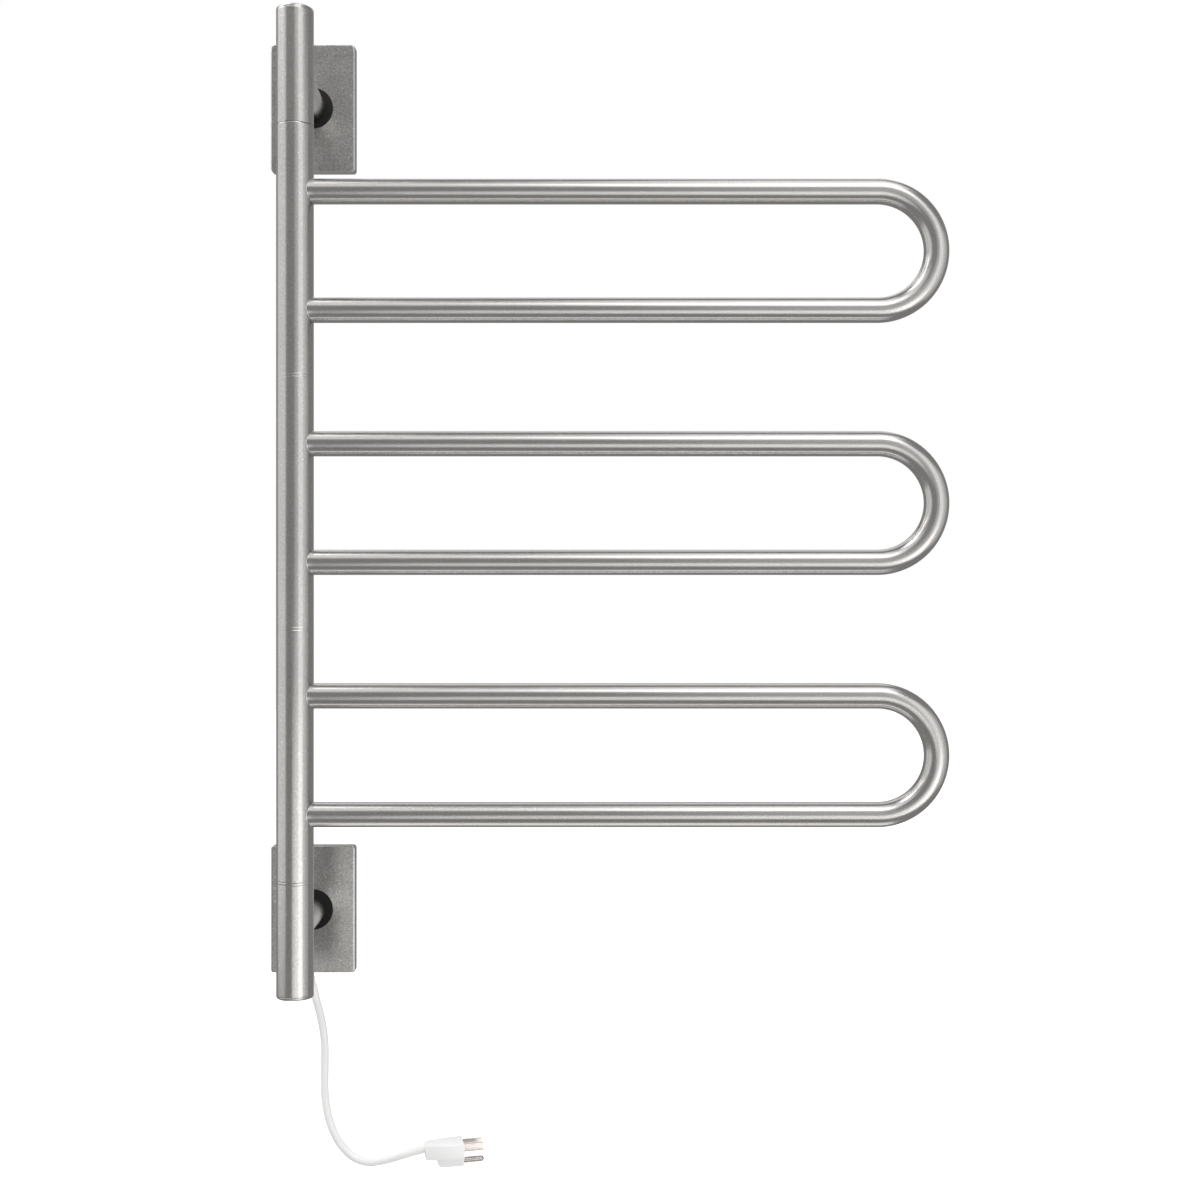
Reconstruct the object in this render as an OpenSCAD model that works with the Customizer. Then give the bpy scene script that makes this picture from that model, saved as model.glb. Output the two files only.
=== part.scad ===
// Swivel towel warmer: three U-shaped heated bars that turn on one wall-mounted post.
// The origin is on the wall plane, behind the post's axis and halfway up the stack of bars.
// +Z is up, +X runs along the bars at rest, and the room is towards -Y.

/* [Post] */
// Outer diameter of the post
post_d = 28.4; // [26:0.2:36]
// Wall thickness of the post tube
post_wall = 1.5; // [1:0.1:2]
// Distance from the wall to the post's axis
post_to_wall = 89.1; // [70:0.1:120]
// Length of each fixed end piece of the post, with its end cap
end_len = 89.9; // [74:0.1:130]
// Thickness of an end cap's rim
cap_rim = 2.4; // [2:0.1:5]
// Radius of the round edge on an end cap
cap_round = 1.8; // [0.5:0.1:2]
// Length of an end cap's plug inside the tube
cap_plug_len = 8; // [5:0.5:12]

/* [Swivel bars] */
// Height from one bar to the next
bar_pitch = 192.8; // [150:0.1:240]
// Diameter of the bar tube
bar_d = 19.3; // [16:0.1:24]
// Wall thickness of the bar tube
bar_wall = 1.2; // [0.8:0.1:1.6]
// Height between the centre lines of a bar's two legs
leg_gap = 90.7; // [70:0.1:115]
// Reach of a bar from the post's axis to its outer end
bar_reach = 500.2; // [300:0.1:650]
// Thickness of the thrust washer under each bar
washer_t = 2.2; // [1:0.1:4]
// Width of the running gap above the top bar
top_gap = 0.4; // [0.2:0.1:1]
// Gap on each face of a thrust washer
face_gap = 0.05; // [0.02:0.01:0.2]

/* [Spindle] */
// Outer diameter of the spindle inside the post
spindle_d = 16; // [13:0.1:16.4]
// Wall thickness of the spindle
spindle_wall = 1.5; // [1:0.1:2]
// Radial clearance between the spindle and the bushes
bush_clearance = 0.05; // [0.02:0.01:0.1]
// Length of each plain bush
bush_len = 18; // [12:0.5:24]
// Length of the collar that holds each end of the spindle
collar_len = 20; // [14:0.5:24]

/* [Wall plates] */
// Width of a cover plate
plate_w = 68.5; // [57:0.1:85]
// Height of a cover plate
plate_h = 103; // [85:0.1:125]
// Depth of a cover plate from the wall to its face
plate_depth = 10; // [10:0.1:14]
// Thickness of the cover plate's sheet
plate_t = 1.2; // [0.8:0.1:1.4]
// Radius of the cover plate's corners, seen from the front
plate_corner_r = 2.5; // [1.5:0.1:6]
// Radius of the bend along the cover plate's upright edges
plate_bend_r = 1.3; // [0.5:0.1:2.5]
// Height of a standoff's axis beyond the end of the stack of bars
standoff_rise = 36.1; // [30:0.1:44]
// Thickness of the bracket's sheet
bracket_t = 2; // [1.5:0.1:2.5]
// Thickness of the bracket's side flanges
flange_t = 1.5; // [1:0.1:2]
// Gap between the cover plate and the bracket inside it
cover_gap = 0.25; // [0.1:0.05:0.5]
// Diameter of a wall screw hole
screw_hole_d = 4.5; // [3.5:0.1:5.5]
// Distance from a cover plate's side to the nearer screw holes
screw_inset_x = 12.25; // [10:0.05:14]
// Distance from a cover plate's end to the nearer screw holes
screw_inset_z = 15.5; // [13:0.1:18]

/* [Standoffs] */
// Diameter of a standoff where it meets the post
standoff_d = 22; // [20:0.1:25]
// Diameter of a standoff just past its rounded wall end
standoff_end_d = 21.2; // [19.6:0.1:25]
// Radius of the rounded edge at a standoff's wall end
standoff_round = 3; // [1:0.1:3]
// Diameter of the bracket's boss, which the standoff slides over
boss_d = 14.5; // [12:0.1:15]
// Length of the boss in front of the cover plate
boss_len = 28; // [20:0.5:36]
// Clearance on radius between the boss and the standoff
boss_clearance = 0.05; // [0.02:0.01:0.15]
// Diameter of the wire channel through the boss, standoff and post
wire_hole_d = 10; // [8:0.1:10.5]
// Diameter of the black ring on the cover plate
ring_d = 32.8; // [28:0.1:40]
// Thickness of the black ring in front of the cover plate
ring_t = 1.2; // [0.6:0.1:3]
// Diameter of the ring's neck through the cover plate
ring_neck_d = 22; // [18:0.1:26]
// Gap between the black ring and the standoff's end
ring_gap = 0.3; // [0.1:0.1:1]
// Diameter of the grub screws
grub_d = 4; // [3:0.1:5]

/* [Heating and wiring] */
// Diameter of the heating cable inside a bar
heater_d = 6; // [4:0.1:8]
// Length of the seal at each end of the heating cable
seal_len = 10; // [6:0.5:14]
// Diameter of the lead inside the post
lead_d = 2; // [1.2:0.1:2.2]
// Number of loose turns of the lead round the spindle
lead_turns = 3; // [1:1:5]
// Diameter of the bundle of wires in the spindle
loom_d = 4.4; // [3:0.1:6]
// Width of the terminal block
block_w = 26; // [18:0.5:28]
// Height of the terminal block
block_h = 14; // [10:0.5:15]

/* [Cord and plug] */
// Diameter of the mains cord
cord_d = 6.6; // [6:0.1:7.2]
// Diameter of the cord relief where it leaves the cover plate
relief_d = 7.5; // [7.4:0.1:8]
// Length of the cord relief below the cover plate
relief_len = 24; // [20:0.5:24]
// Length of the plug's body
plug_len = 31; // [28:0.5:36]
// Width of the plug's body at the blades
plug_w = 24; // [22:0.5:28]
// Width of the plug's body at the cord
plug_tail_w = 14; // [12:0.5:18]
// Height of the plug's body, without the rib for the ground pin
plug_h = 11.8; // [10:0.1:14]
// Depth of the blades' centre line below the plug's top
blade_drop = 4.3; // [4.2:0.1:5.5]

/* [Hidden] */
$fn = 96;
ARMS = ["upper", "middle", "lower"];
ENDS = ["upper", "lower"];

// Colours
steel_colour = [0.70, 0.69, 0.68];
bright_steel_colour = [0.78, 0.78, 0.78];
black_colour = [0.07, 0.07, 0.07];
white_colour = [0.93, 0.93, 0.92];
nylon_colour = [0.86, 0.85, 0.80];
heater_colour = [0.72, 0.30, 0.22];
copper_colour = [0.80, 0.55, 0.35];
blade_colour = [0.86, 0.80, 0.77];

// Sizes that follow from the ones above
eps = 1;                                    // how far a cutting shape runs past the face it cuts
post_r = post_d / 2;
post_ir = post_r - post_wall;
bar_r = bar_d / 2;
bar_ir = bar_r - bar_wall;
bend_r = leg_gap / 2;
bend_x = bar_reach - bend_r - bar_r;        // where the legs end and the bend begins
stack_half = 1.5 * bar_pitch;
sleeve_len = bar_pitch - washer_t - 2 * face_gap;
top_joint_z = stack_half - washer_t / 2 - face_gap + top_gap;
bottom_joint_z = -stack_half - washer_t / 2;
post_top_z = stack_half + end_len - washer_t / 2;
standoff_z = stack_half + standoff_rise;
spindle_r = spindle_d / 2;
spindle_ir = spindle_r - spindle_wall;
spindle_end = 2;                            // how far the spindle runs past each collar
bush_ir = spindle_r + bush_clearance;
wire_hole_r = wire_hole_d / 2;

plate_inner_w = plate_w - 2 * plate_t;
plate_inner_depth = plate_depth - plate_t;
bracket_w = plate_inner_w - 2 * cover_gap;
bracket_foot = 5.5;                         // space between the bracket and the cover plate's ends
bracket_h = plate_h - 2 * bracket_foot;
flange_depth = plate_inner_depth - cover_gap;
screw_x = plate_w / 2 - screw_inset_x;
screw_z = plate_h / 2 - screw_inset_z;

standoff_start = plate_depth + ring_t + ring_gap;
boss_r = boss_d / 2;
boss_end = plate_depth + boss_len;
standoff_bore_r = boss_r + boss_clearance;
standoff_bore_end = boss_end + 0.5;         // half a millimetre of room past the boss
grub_at = plate_depth + boss_len / 2;       // the grub screw's distance from the wall
grub_hole_r = grub_d / 2;
grub_r = grub_hole_r - 0.05;
hex_flats = grub_d / 2;                     // the socket's width across flats
hex_r = hex_flats / sqrt(3);
hex_depth = 1.6;

leg_hole_r = heater_d / 2 + 1;              // hole in the sleeve where a leg's wiring enters
seal_x = post_r + 3;                        // where the seal begins inside a leg
heater_start_x = post_ir + 0.3;
lead_r = lead_d / 2;
lead_turn_r = (spindle_r + post_ir) / 2;
spindle_wire_hole_r = 2;
loom_r = loom_d / 2;
loom_bend_r = 5;
loom_top = bar_pitch;                       // the loom ends level with the top bar
loom_y = -(bracket_t + flange_depth) / 2;

wall_end_z = -standoff_z - plate_h / 2;     // the bottom edge of the lower cover plate
block_foot = 14.8;                          // height of the terminal block above that edge
block_z = wall_end_z + block_foot + block_h / 2;
block_depth = flange_depth - bracket_t - 0.3;
block_screws = 3;
block_screw_r = 1.6;

// The cord leaves the lower cover plate's bottom edge, a little to the left of the post's axis.
// It leans to the right as it leaves, hangs down beside the wall and sweeps round to the plug.
relief_x = -4;
relief_y = -plate_inner_depth / 2 - 0.6;
relief_lean = 14.5;
relief_hole_gap = 0.15;
relief_flange = [13, 7, 2];
cord_route = [                              // each height is from the cover plate's bottom edge
    [2, -5.6, -23.2], [5.4, -5.8, -35.2], [8, -6.2, -48.2], [9.2, -6.8, -61.2],
    [9.4, -7.8, -75.2], [9.4, -9, -89.2], [10.4, -10.6, -103.2], [13.4, -12.4, -117.2],
    [18.6, -14.2, -129.8], [26, -15.8, -140.4], [35.6, -17.2, -148], [47, -18.4, -150.8],
    [59, -19.4, -149], [70, -20, -145.8], [81, -20.2, -142.4], [92, -20, -139.6]
];
cord_sides = 10;

// The plug lies on the cord's last point, turned a little towards the wall.
plug_turn = 10;
plug_rise = 2;
plug_waist = 17;                            // where the plug's sides stop widening
plug_waist_w = 22.6;
plug_edge_r = 1;
blade_gap = 12.7;
blade_size = [15.9, 1.5, 6.35];
blade_root = 5;                             // length of a blade inside the body
pin_d = 4.76;
pin_drop = 11.9;                            // from the blades' centre line to the ground pin's
pin_len = 16.4;
rib_wall = 1.2;
rib_start = 9.5;
rib_w = 9;

// The height of a bar's centre, with the upper bar first
function arm_z(i) = (1 - i) * bar_pitch;

// +1 for the upper end of the post and -1 for the lower one
function end_sign(i) = 1 - 2 * i;

function unit(v) = v / norm(v);

// The cord's points in place, below the lower cover plate
function cord_point(k) = cord_route[k] + [0, 0, wall_end_z];

// ---- Shared shapes ----

module tube(outer_r, inner_r, length) {
    difference() {
        cylinder(r = outer_r, h = length);
        translate([0, 0, -eps]) cylinder(r = inner_r, h = length + 2 * eps);
    }
}

// Puts its children on the post's axis
module on_post() {
    translate([0, -post_to_wall, 0]) children();
}

// Puts its children on a standoff's axis, with their +Z running from the wall to the post
module on_standoff(i) {
    translate([0, 0, end_sign(i) * standoff_z]) rotate([90, 0, 0]) children();
}

// A rectangle with round corners, centred
module round_rect(w, h, r) {
    square([w - 2 * r, h], center = true);
    square([w, h - 2 * r], center = true);
    for (x = [-1, 1], y = [-1, 1])
        translate([x * (w / 2 - r), y * (h / 2 - r)]) circle(r = r);
}

// A headless screw with a hexagon socket, from its seat at z = 0 to its driven end
module grub_screw(length) {
    difference() {
        cylinder(r = grub_r, h = length);
        translate([0, 0, length - hex_depth]) cylinder(r = hex_r, h = hex_depth + eps, $fn = 6);
    }
}

// ---- Wall plates ----

// A steel plate with two side flanges, four wall screw holes and a hollow boss for the standoff
module wall_bracket(i) {
    color(bright_steel_colour) difference() {
        on_standoff(i) {
            linear_extrude(bracket_t) square([bracket_w, bracket_h], center = true);
            for (side = [-1, 1])
                translate([side * (bracket_w - flange_t) / 2 - flange_t / 2, -bracket_h / 2, 0])
                    cube([flange_t, bracket_h, flange_depth]);
            cylinder(r = boss_r, h = boss_end);
        }
        on_standoff(i) {
            translate([0, 0, -eps]) cylinder(r = wire_hole_r, h = boss_end + 2 * eps);
            for (x = [-1, 1], z = [-1, 1])
                translate([x * screw_x, z * screw_z, -eps])
                    cylinder(d = screw_hole_d, h = bracket_t + 2 * eps);
        }
        if (i == 1)                         // the loom passes from the terminal block into the boss
            translate([0, loom_y, -standoff_z - boss_r - eps])
                cylinder(r = loom_r + 0.5, h = boss_r + eps);
    }
}

// The outside or inside of a cover plate, open at the wall, with its sides bent from one sheet
module cover_block(w, h, depth, bend_r, corner_r) {
    intersection() {
        translate([0, 0, -h / 2]) linear_extrude(h) {
            translate([-w / 2, -depth + bend_r]) square([w, depth - bend_r + eps]);
            translate([-w / 2 + bend_r, -depth]) square([w - 2 * bend_r, depth]);
            for (side = [-1, 1])
                translate([side * (w / 2 - bend_r), -depth + bend_r]) circle(r = bend_r);
        }
        rotate([90, 0, 0]) translate([0, 0, -eps])
            linear_extrude(depth + 2 * eps) round_rect(w, h, corner_r);
    }
}

// A pressed stainless cover, with a round hole for the ring and a slot for the cord below
module cover_plate(i) {
    color(steel_colour) difference() {
        intersection() {
            translate([0, 0, end_sign(i) * standoff_z])
                cover_block(plate_w, plate_h, plate_depth, plate_bend_r, plate_corner_r);
            translate([-plate_w, -plate_depth - eps, end_sign(i) * standoff_z - plate_h])
                cube([2 * plate_w, plate_depth + eps, 2 * plate_h]);
        }
        translate([0, 0, end_sign(i) * standoff_z])
            cover_block(plate_inner_w, plate_h - 2 * plate_t, plate_inner_depth,
                max(plate_bend_r - plate_t, 0.1), plate_corner_r - plate_t);
        on_standoff(i) translate([0, 0, plate_inner_depth - eps])
            cylinder(d = ring_neck_d, h = plate_t + 2 * eps);
        if (i == 1) relief_axis() translate([0, 0, -3 * plate_t])
            cylinder(d = relief_d + 2 * relief_hole_gap, h = 6 * plate_t);
    }
}

// The flat black ring round the boss, with a neck through the cover plate
module ring(i) {
    color(black_colour) on_standoff(i) {
        translate([0, 0, plate_depth]) tube(ring_d / 2, standoff_bore_r, ring_t);
        translate([0, 0, plate_inner_depth]) tube(ring_neck_d / 2, standoff_bore_r, plate_t);
    }
}

// ---- Standoffs ----

// The half outline of a standoff, from its rounded wall end to the middle of the post
module standoff_outline() {
    end_r = standoff_end_d / 2;
    round_x = end_r - standoff_round;
    round_y = standoff_start + standoff_round;
    translate([round_x, round_y]) intersection() {
        circle(r = standoff_round);
        translate([0, -standoff_round]) square(standoff_round);
    }
    translate([0, standoff_start]) square([round_x, standoff_round]);
    polygon([[0, round_y], [end_r, round_y], [standoff_d / 2, boss_end],
        [standoff_d / 2, post_to_wall], [0, post_to_wall]]);
}

// A turned tube that slides over the boss and ends in a saddle round the post
module standoff(i) {
    color(steel_colour) difference() {
        on_standoff(i) rotate_extrude() standoff_outline();
        on_standoff(i) {
            translate([0, 0, standoff_start - eps])
                cylinder(r = standoff_bore_r, h = standoff_bore_end - standoff_start + eps);
            cylinder(r = wire_hole_r, h = post_to_wall);
        }
        on_post() translate([0, 0, end_sign(i) * standoff_z - standoff_d])
            cylinder(r = post_r, h = 2 * standoff_d);
        translate([0, -grub_at, end_sign(i) * standoff_z - standoff_d])
            cylinder(r = grub_hole_r, h = standoff_d);
    }
}

// One grub screw under each standoff, which clamps it to the boss
module standoff_grub_screws() {
    color(bright_steel_colour) for (i = [0, 1])
        translate([0, -grub_at, end_sign(i) * standoff_z - boss_r - boss_clearance])
            rotate([180, 0, 0]) grub_screw((standoff_end_d - boss_d) / 2 - 0.4);
}

// ---- Post ----

// A fixed end piece of the post, with a wire hole behind and a hole for the collar's grub screw
module post_end(i) {
    length = i == 0 ? post_top_z - cap_rim - top_joint_z : post_top_z - cap_rim + bottom_joint_z;
    color(steel_colour) difference() {
        on_post() translate([0, 0, i == 0 ? top_joint_z : bottom_joint_z - length])
            tube(post_r, post_ir, length);
        on_standoff(i) cylinder(r = wire_hole_r, h = post_to_wall);
        on_collar_screw(i) cylinder(r = grub_hole_r, h = post_r + eps);
    }
}

// A turned cap with a rounded rim and a plug inside the tube
module end_cap(i) {
    color(steel_colour) on_post() scale([1, 1, end_sign(i)])
        translate([0, 0, post_top_z - cap_rim]) {
            rotate_extrude() {
                square([post_r, cap_rim - cap_round]);
                square([post_r - cap_round, cap_rim]);
                translate([post_r - cap_round, cap_rim - cap_round]) intersection() {
                    circle(r = cap_round);
                    square(cap_round);
                }
            }
            translate([0, 0, -cap_plug_len]) cylinder(r = post_ir, h = cap_plug_len);
        }
}

// The middle of the collar at one end of the spindle
function collar_mid(i) = i == 0 ? top_joint_z + collar_len / 2 : bottom_joint_z - collar_len / 2;

// Puts its children at a collar's grub screw, with +Z running out towards the wall
module on_collar_screw(i) {
    on_post() translate([0, 0, collar_mid(i)]) rotate([-90, 0, 0]) children();
}

// A thick collar that fills the fixed end piece and holds the spindle's end
module spindle_collar(i) {
    color(bright_steel_colour) difference() {
        on_post() translate([0, 0, collar_mid(i) - collar_len / 2]) tube(post_ir, spindle_r, collar_len);
        on_collar_screw(i) cylinder(r = grub_hole_r, h = post_r + eps);
    }
}

module collar_grub_screws() {
    color(bright_steel_colour) for (i = [0, 1])
        on_collar_screw(i) translate([0, 0, spindle_r]) grub_screw(post_r - spindle_r - 0.6);
}

// The hollow spindle that the three bars turn on, with a wire hole at each bar
module spindle() {
    foot = bottom_joint_z - collar_len - spindle_end;
    head = top_joint_z + collar_len + spindle_end;
    color(bright_steel_colour) on_post() difference() {
        translate([0, 0, foot]) tube(spindle_r, spindle_ir, head - foot);
        for (i = [0:2])
            translate([0, 0, arm_z(i)]) rotate([-90, 0, 0]) cylinder(r = spindle_wire_hole_r, h = post_r);
    }
}

// One washer under each bar's sleeve, as wide as the post
module thrust_washers() {
    color(steel_colour) on_post() for (i = [0:2])
        translate([0, 0, arm_z(i) - bar_pitch / 2 - washer_t / 2])
            tube(post_r, spindle_r + bush_clearance, washer_t);
}

// ---- Swivel bars ----

// The length of post that turns with a bar, with a hole behind each leg
module sleeve(i) {
    color(steel_colour) on_post() difference() {
        translate([0, 0, arm_z(i) - sleeve_len / 2]) tube(post_r, post_ir, sleeve_len);
        for (side = [-1, 1])
            translate([0, 0, arm_z(i) + side * leg_gap / 2]) rotate([0, 90, 0])
                cylinder(r = leg_hole_r, h = post_r + eps);
    }
}

// A round U along a bar's centre line, from x = start to the bend and back
module bar_path(r, start) {
    for (side = [-1, 1])
        translate([start, 0, side * leg_gap / 2]) rotate([0, 90, 0]) cylinder(r = r, h = bend_x - start);
    translate([bend_x, 0, 0]) rotate([90, 0, 0]) rotate([0, 0, -90])
        rotate_extrude(angle = 180) translate([bend_r, 0]) circle(r = r);
}

// The bent tube that the towels hang on, saddled to the sleeve at both ends
module bar(i) {
    color(steel_colour) on_post() translate([0, 0, arm_z(i)]) difference() {
        bar_path(bar_r, 0);
        bar_path(bar_ir, 0);
        translate([0, 0, -leg_gap]) cylinder(r = post_r, h = 2 * leg_gap);
    }
}

// Two nylon bushes that carry a sleeve on the spindle
module bushes(i) {
    color(nylon_colour) on_post() for (side = [-1, 1])
        translate([0, 0, arm_z(i) + side * (sleeve_len - bush_len) / 2 - bush_len / 2])
            tube(post_ir, bush_ir, bush_len);
}

// The heating cable, which fills the bar's length
module heating_cable(i) {
    color(heater_colour) on_post() translate([0, 0, arm_z(i)]) bar_path(heater_d / 2, heater_start_x);
}

// A seal round the heating cable near the mouth of each leg
module cable_seals(i) {
    color(black_colour) on_post() for (side = [-1, 1])
        translate([seal_x, 0, arm_z(i) + side * leg_gap / 2]) rotate([0, 90, 0])
            tube(bar_ir, heater_d / 2, seal_len);
}

// The heating cable's lead: a tail from each leg, a riser and loose turns round the spindle
module lead(i) {
    color(heater_colour) on_post() translate([0, 0, arm_z(i)]) {
        for (side = [-1, 1])
            translate([lead_turn_r, 0, side * leg_gap / 2]) {
                rotate([0, 90, 0]) cylinder(r = lead_r, h = heater_start_x - lead_turn_r);
                sphere(r = lead_r);
            }
        translate([lead_turn_r, 0, -leg_gap / 2]) cylinder(r = lead_r, h = leg_gap);
        for (k = [0:lead_turns - 1])
            translate([0, 0, (k - (lead_turns - 1) / 2) * lead_d * 0.98])
                rotate_extrude() translate([lead_turn_r, 0]) circle(r = lead_r);
    }
}

// ---- Wiring behind the lower cover plate ----

module terminal_block() {
    color(white_colour) difference() {
        translate([-block_w / 2, -bracket_t - block_depth, block_z - block_h / 2])
            cube([block_w, block_depth, block_h]);
        for (k = [0:block_screws - 1])
            translate([terminal_x(k), -bracket_t - block_depth - eps, block_z]) rotate([-90, 0, 0])
                cylinder(r = block_screw_r, h = block_depth / 2 + eps);
    }
}

function terminal_x(k) = (k - (block_screws - 1) / 2) * block_w / block_screws;

module terminal_screws() {
    color(copper_colour) for (k = [0:block_screws - 1])
        translate([terminal_x(k), -bracket_t - block_depth / 2, block_z]) rotate([90, 0, 0])
            cylinder(r = block_screw_r, h = block_depth / 2 - 0.5);
}

// The cord's inner length, from the relief up to the terminal block
module supply_lead() {
    foot = wall_end_z + plate_t + relief_flange.z;
    color(white_colour) translate([relief_x, relief_y, foot])
        cylinder(d = cord_d - 1, h = block_z - block_h / 2 - foot);
}

// The bundle of wires from the terminal block through the standoff and up the spindle
module wire_loom() {
    foot = block_z + block_h / 2;
    bend_z = -standoff_z;
    turn_y = -post_to_wall + loom_bend_r;
    color(heater_colour) {
        translate([0, loom_y, foot]) cylinder(r = loom_r, h = bend_z - loom_bend_r - foot);
        translate([0, loom_y - loom_bend_r, bend_z - loom_bend_r]) rotate([90, 0, 90])
            rotate_extrude(angle = 90) translate([loom_bend_r, 0]) circle(r = loom_r);
        translate([0, loom_y - loom_bend_r, bend_z]) rotate([90, 0, 0])
            cylinder(r = loom_r, h = loom_y - loom_bend_r - turn_y);
        translate([0, turn_y, bend_z + loom_bend_r]) rotate([90, 0, 90]) rotate([0, 0, 180])
            rotate_extrude(angle = 90) translate([loom_bend_r, 0]) circle(r = loom_r);
        translate([0, -post_to_wall, bend_z + loom_bend_r])
            cylinder(r = loom_r, h = loom_top - bend_z - loom_bend_r);
    }
}

// ---- Cord and plug ----

// Puts its children where the cord leaves the cover plate, with +Z back up along the relief
module relief_axis() {
    translate([relief_x, relief_y, wall_end_z]) rotate([0, -relief_lean, 0]) children();
}

// A moulded relief: a flange inside the cover plate and a slim taper below it
module cord_relief() {
    color(white_colour) {
        relief_axis() translate([0, 0, -relief_len])
            cylinder(d1 = cord_d + 0.2, d2 = relief_d, h = relief_len);
        translate([relief_x, relief_y, wall_end_z]) cylinder(d = relief_d - 0.4, h = plate_t);
        translate([relief_x - relief_flange.x / 2, relief_y - relief_flange.y / 2, wall_end_z + plate_t])
            cube(relief_flange);
    }
}

// The cord's direction at one of its points
function cord_heading(p, k) =
    k == 0 ? [sin(relief_lean), 0, -cos(relief_lean)] :
    k == len(p) - 1 ? plug_axis() :
    unit(p[k + 1] - p[k - 1]);

// Where the relief's tip is, which is where the cord begins
function relief_tip() =
    [relief_x, relief_y, wall_end_z] + relief_len * [sin(relief_lean), 0, -cos(relief_lean)];

// The cord: rings round the route's own points, joined by flat sides
module cord() {
    route = [for (k = [0:len(cord_route) - 1]) k == 0 ? relief_tip() : cord_point(k)];
    rings = [for (k = [0:len(route) - 1]) let (
        along = cord_heading(route, k),
        side = unit(cross(along, [0, 1, 0])),
        up = cross(side, along)
    ) [for (s = [0:cord_sides - 1])
        route[k] + cord_d / 2 * (cos(360 * s / cord_sides) * side + sin(360 * s / cord_sides) * up)]];
    last = len(route) - 1;
    color(white_colour) polyhedron(
        points = [for (r = rings) each r],
        faces = concat(
            [[for (s = [0:cord_sides - 1]) s]],
            [for (k = [0:last - 1], s = [0:cord_sides - 1]) let (t = (s + 1) % cord_sides)
                [k * cord_sides + s, (k + 1) * cord_sides + s,
                 (k + 1) * cord_sides + t, k * cord_sides + t]],
            [[for (s = [cord_sides - 1:-1:0]) last * cord_sides + s]]
        )
    );
}

// The plug's own direction, from the cord to its blades
function plug_axis() =
    [cos(plug_turn) * cos(plug_rise), sin(plug_turn) * cos(plug_rise), sin(plug_rise)];

// Puts its children at the cord's last point, with +X running along the plug to its blades
module on_plug() {
    translate(cord_point(len(cord_route) - 1)) rotate([0, 0, plug_turn]) rotate([0, -plug_rise, 0])
        children();
}

// Half of the plug's plan, widening from the cord to its waist and on to the blades
function plug_half(side) = [
    [0, side * plug_tail_w / 2], [plug_waist, side * plug_waist_w / 2], [plug_len, side * plug_w / 2]
];

module plug_body() {
    body_foot = blade_drop - plug_h;
    rib_foot = -pin_drop - pin_d / 2 - rib_wall;
    color(white_colour) on_plug() difference() {
        union() {
            translate([0, 0, body_foot]) linear_extrude(plug_h)
                polygon(concat(plug_half(1), [for (k = [2:-1:0]) plug_half(-1)[k]]));
            translate([0, rib_w / 2, 0]) rotate([90, 0, 0]) linear_extrude(rib_w) {
                translate([rib_start + rib_w / 2, rib_foot])
                    square([plug_len - rib_start - rib_w / 2, body_foot - rib_foot + plug_edge_r]);
                translate([rib_start, rib_foot + rib_w / 2])
                    square([rib_w, body_foot - rib_foot - rib_w / 2 + plug_edge_r]);
                translate([rib_start + rib_w / 2, rib_foot + rib_w / 2]) circle(r = rib_w / 2);
            }
        }
        for (side = [-1, 1]) blade(side);
        pin();
    }
}

module blade(side) {
    translate([plug_len - blade_root, side * blade_gap / 2 - blade_size.y / 2, -blade_size.z / 2])
        cube([blade_root + blade_size.x, blade_size.y, blade_size.z]);
}

module plug_blades() {
    color(blade_colour) on_plug() for (side = [-1, 1]) blade(side);
}

// The round ground pin with its domed tip
module pin() {
    translate([plug_len - blade_root, 0, -pin_drop]) rotate([0, 90, 0])
        cylinder(d = pin_d, h = blade_root + pin_len - pin_d / 2);
    translate([plug_len + pin_len - pin_d / 2, 0, -pin_drop]) sphere(d = pin_d);
}

module ground_pin() {
    color(bright_steel_colour) on_plug() pin();
}

// ---- The whole object ----

for (i = [0, 1]) {
    wall_bracket(i);
    cover_plate(i);
    ring(i);
    standoff(i);
    post_end(i);
    end_cap(i);
    spindle_collar(i);
}
for (i = [0:2]) {
    sleeve(i);
    bar(i);
    bushes(i);
    heating_cable(i);
    cable_seals(i);
    lead(i);
}
spindle();
thrust_washers();
standoff_grub_screws();
collar_grub_screws();
terminal_block();
terminal_screws();
supply_lead();
wire_loom();
cord_relief();
cord();
plug_body();
plug_blades();
ground_pin();
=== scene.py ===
"""Swivel towel warmer: three satin steel bars that turn on one wall post, with a cord and plug.

The file is laid out as an add-on with a panel in the 3D view's sidebar. Each operator makes one
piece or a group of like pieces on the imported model's bodies, and main() calls them in order.
All lengths are in metres: +Z is up the post, +X runs along the bars and -Y is into the room.
"""

import math

import bmesh
import bpy
from bpy.props import FloatProperty, FloatVectorProperty, IntProperty, PointerProperty
from mathutils import Matrix, Vector


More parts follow.
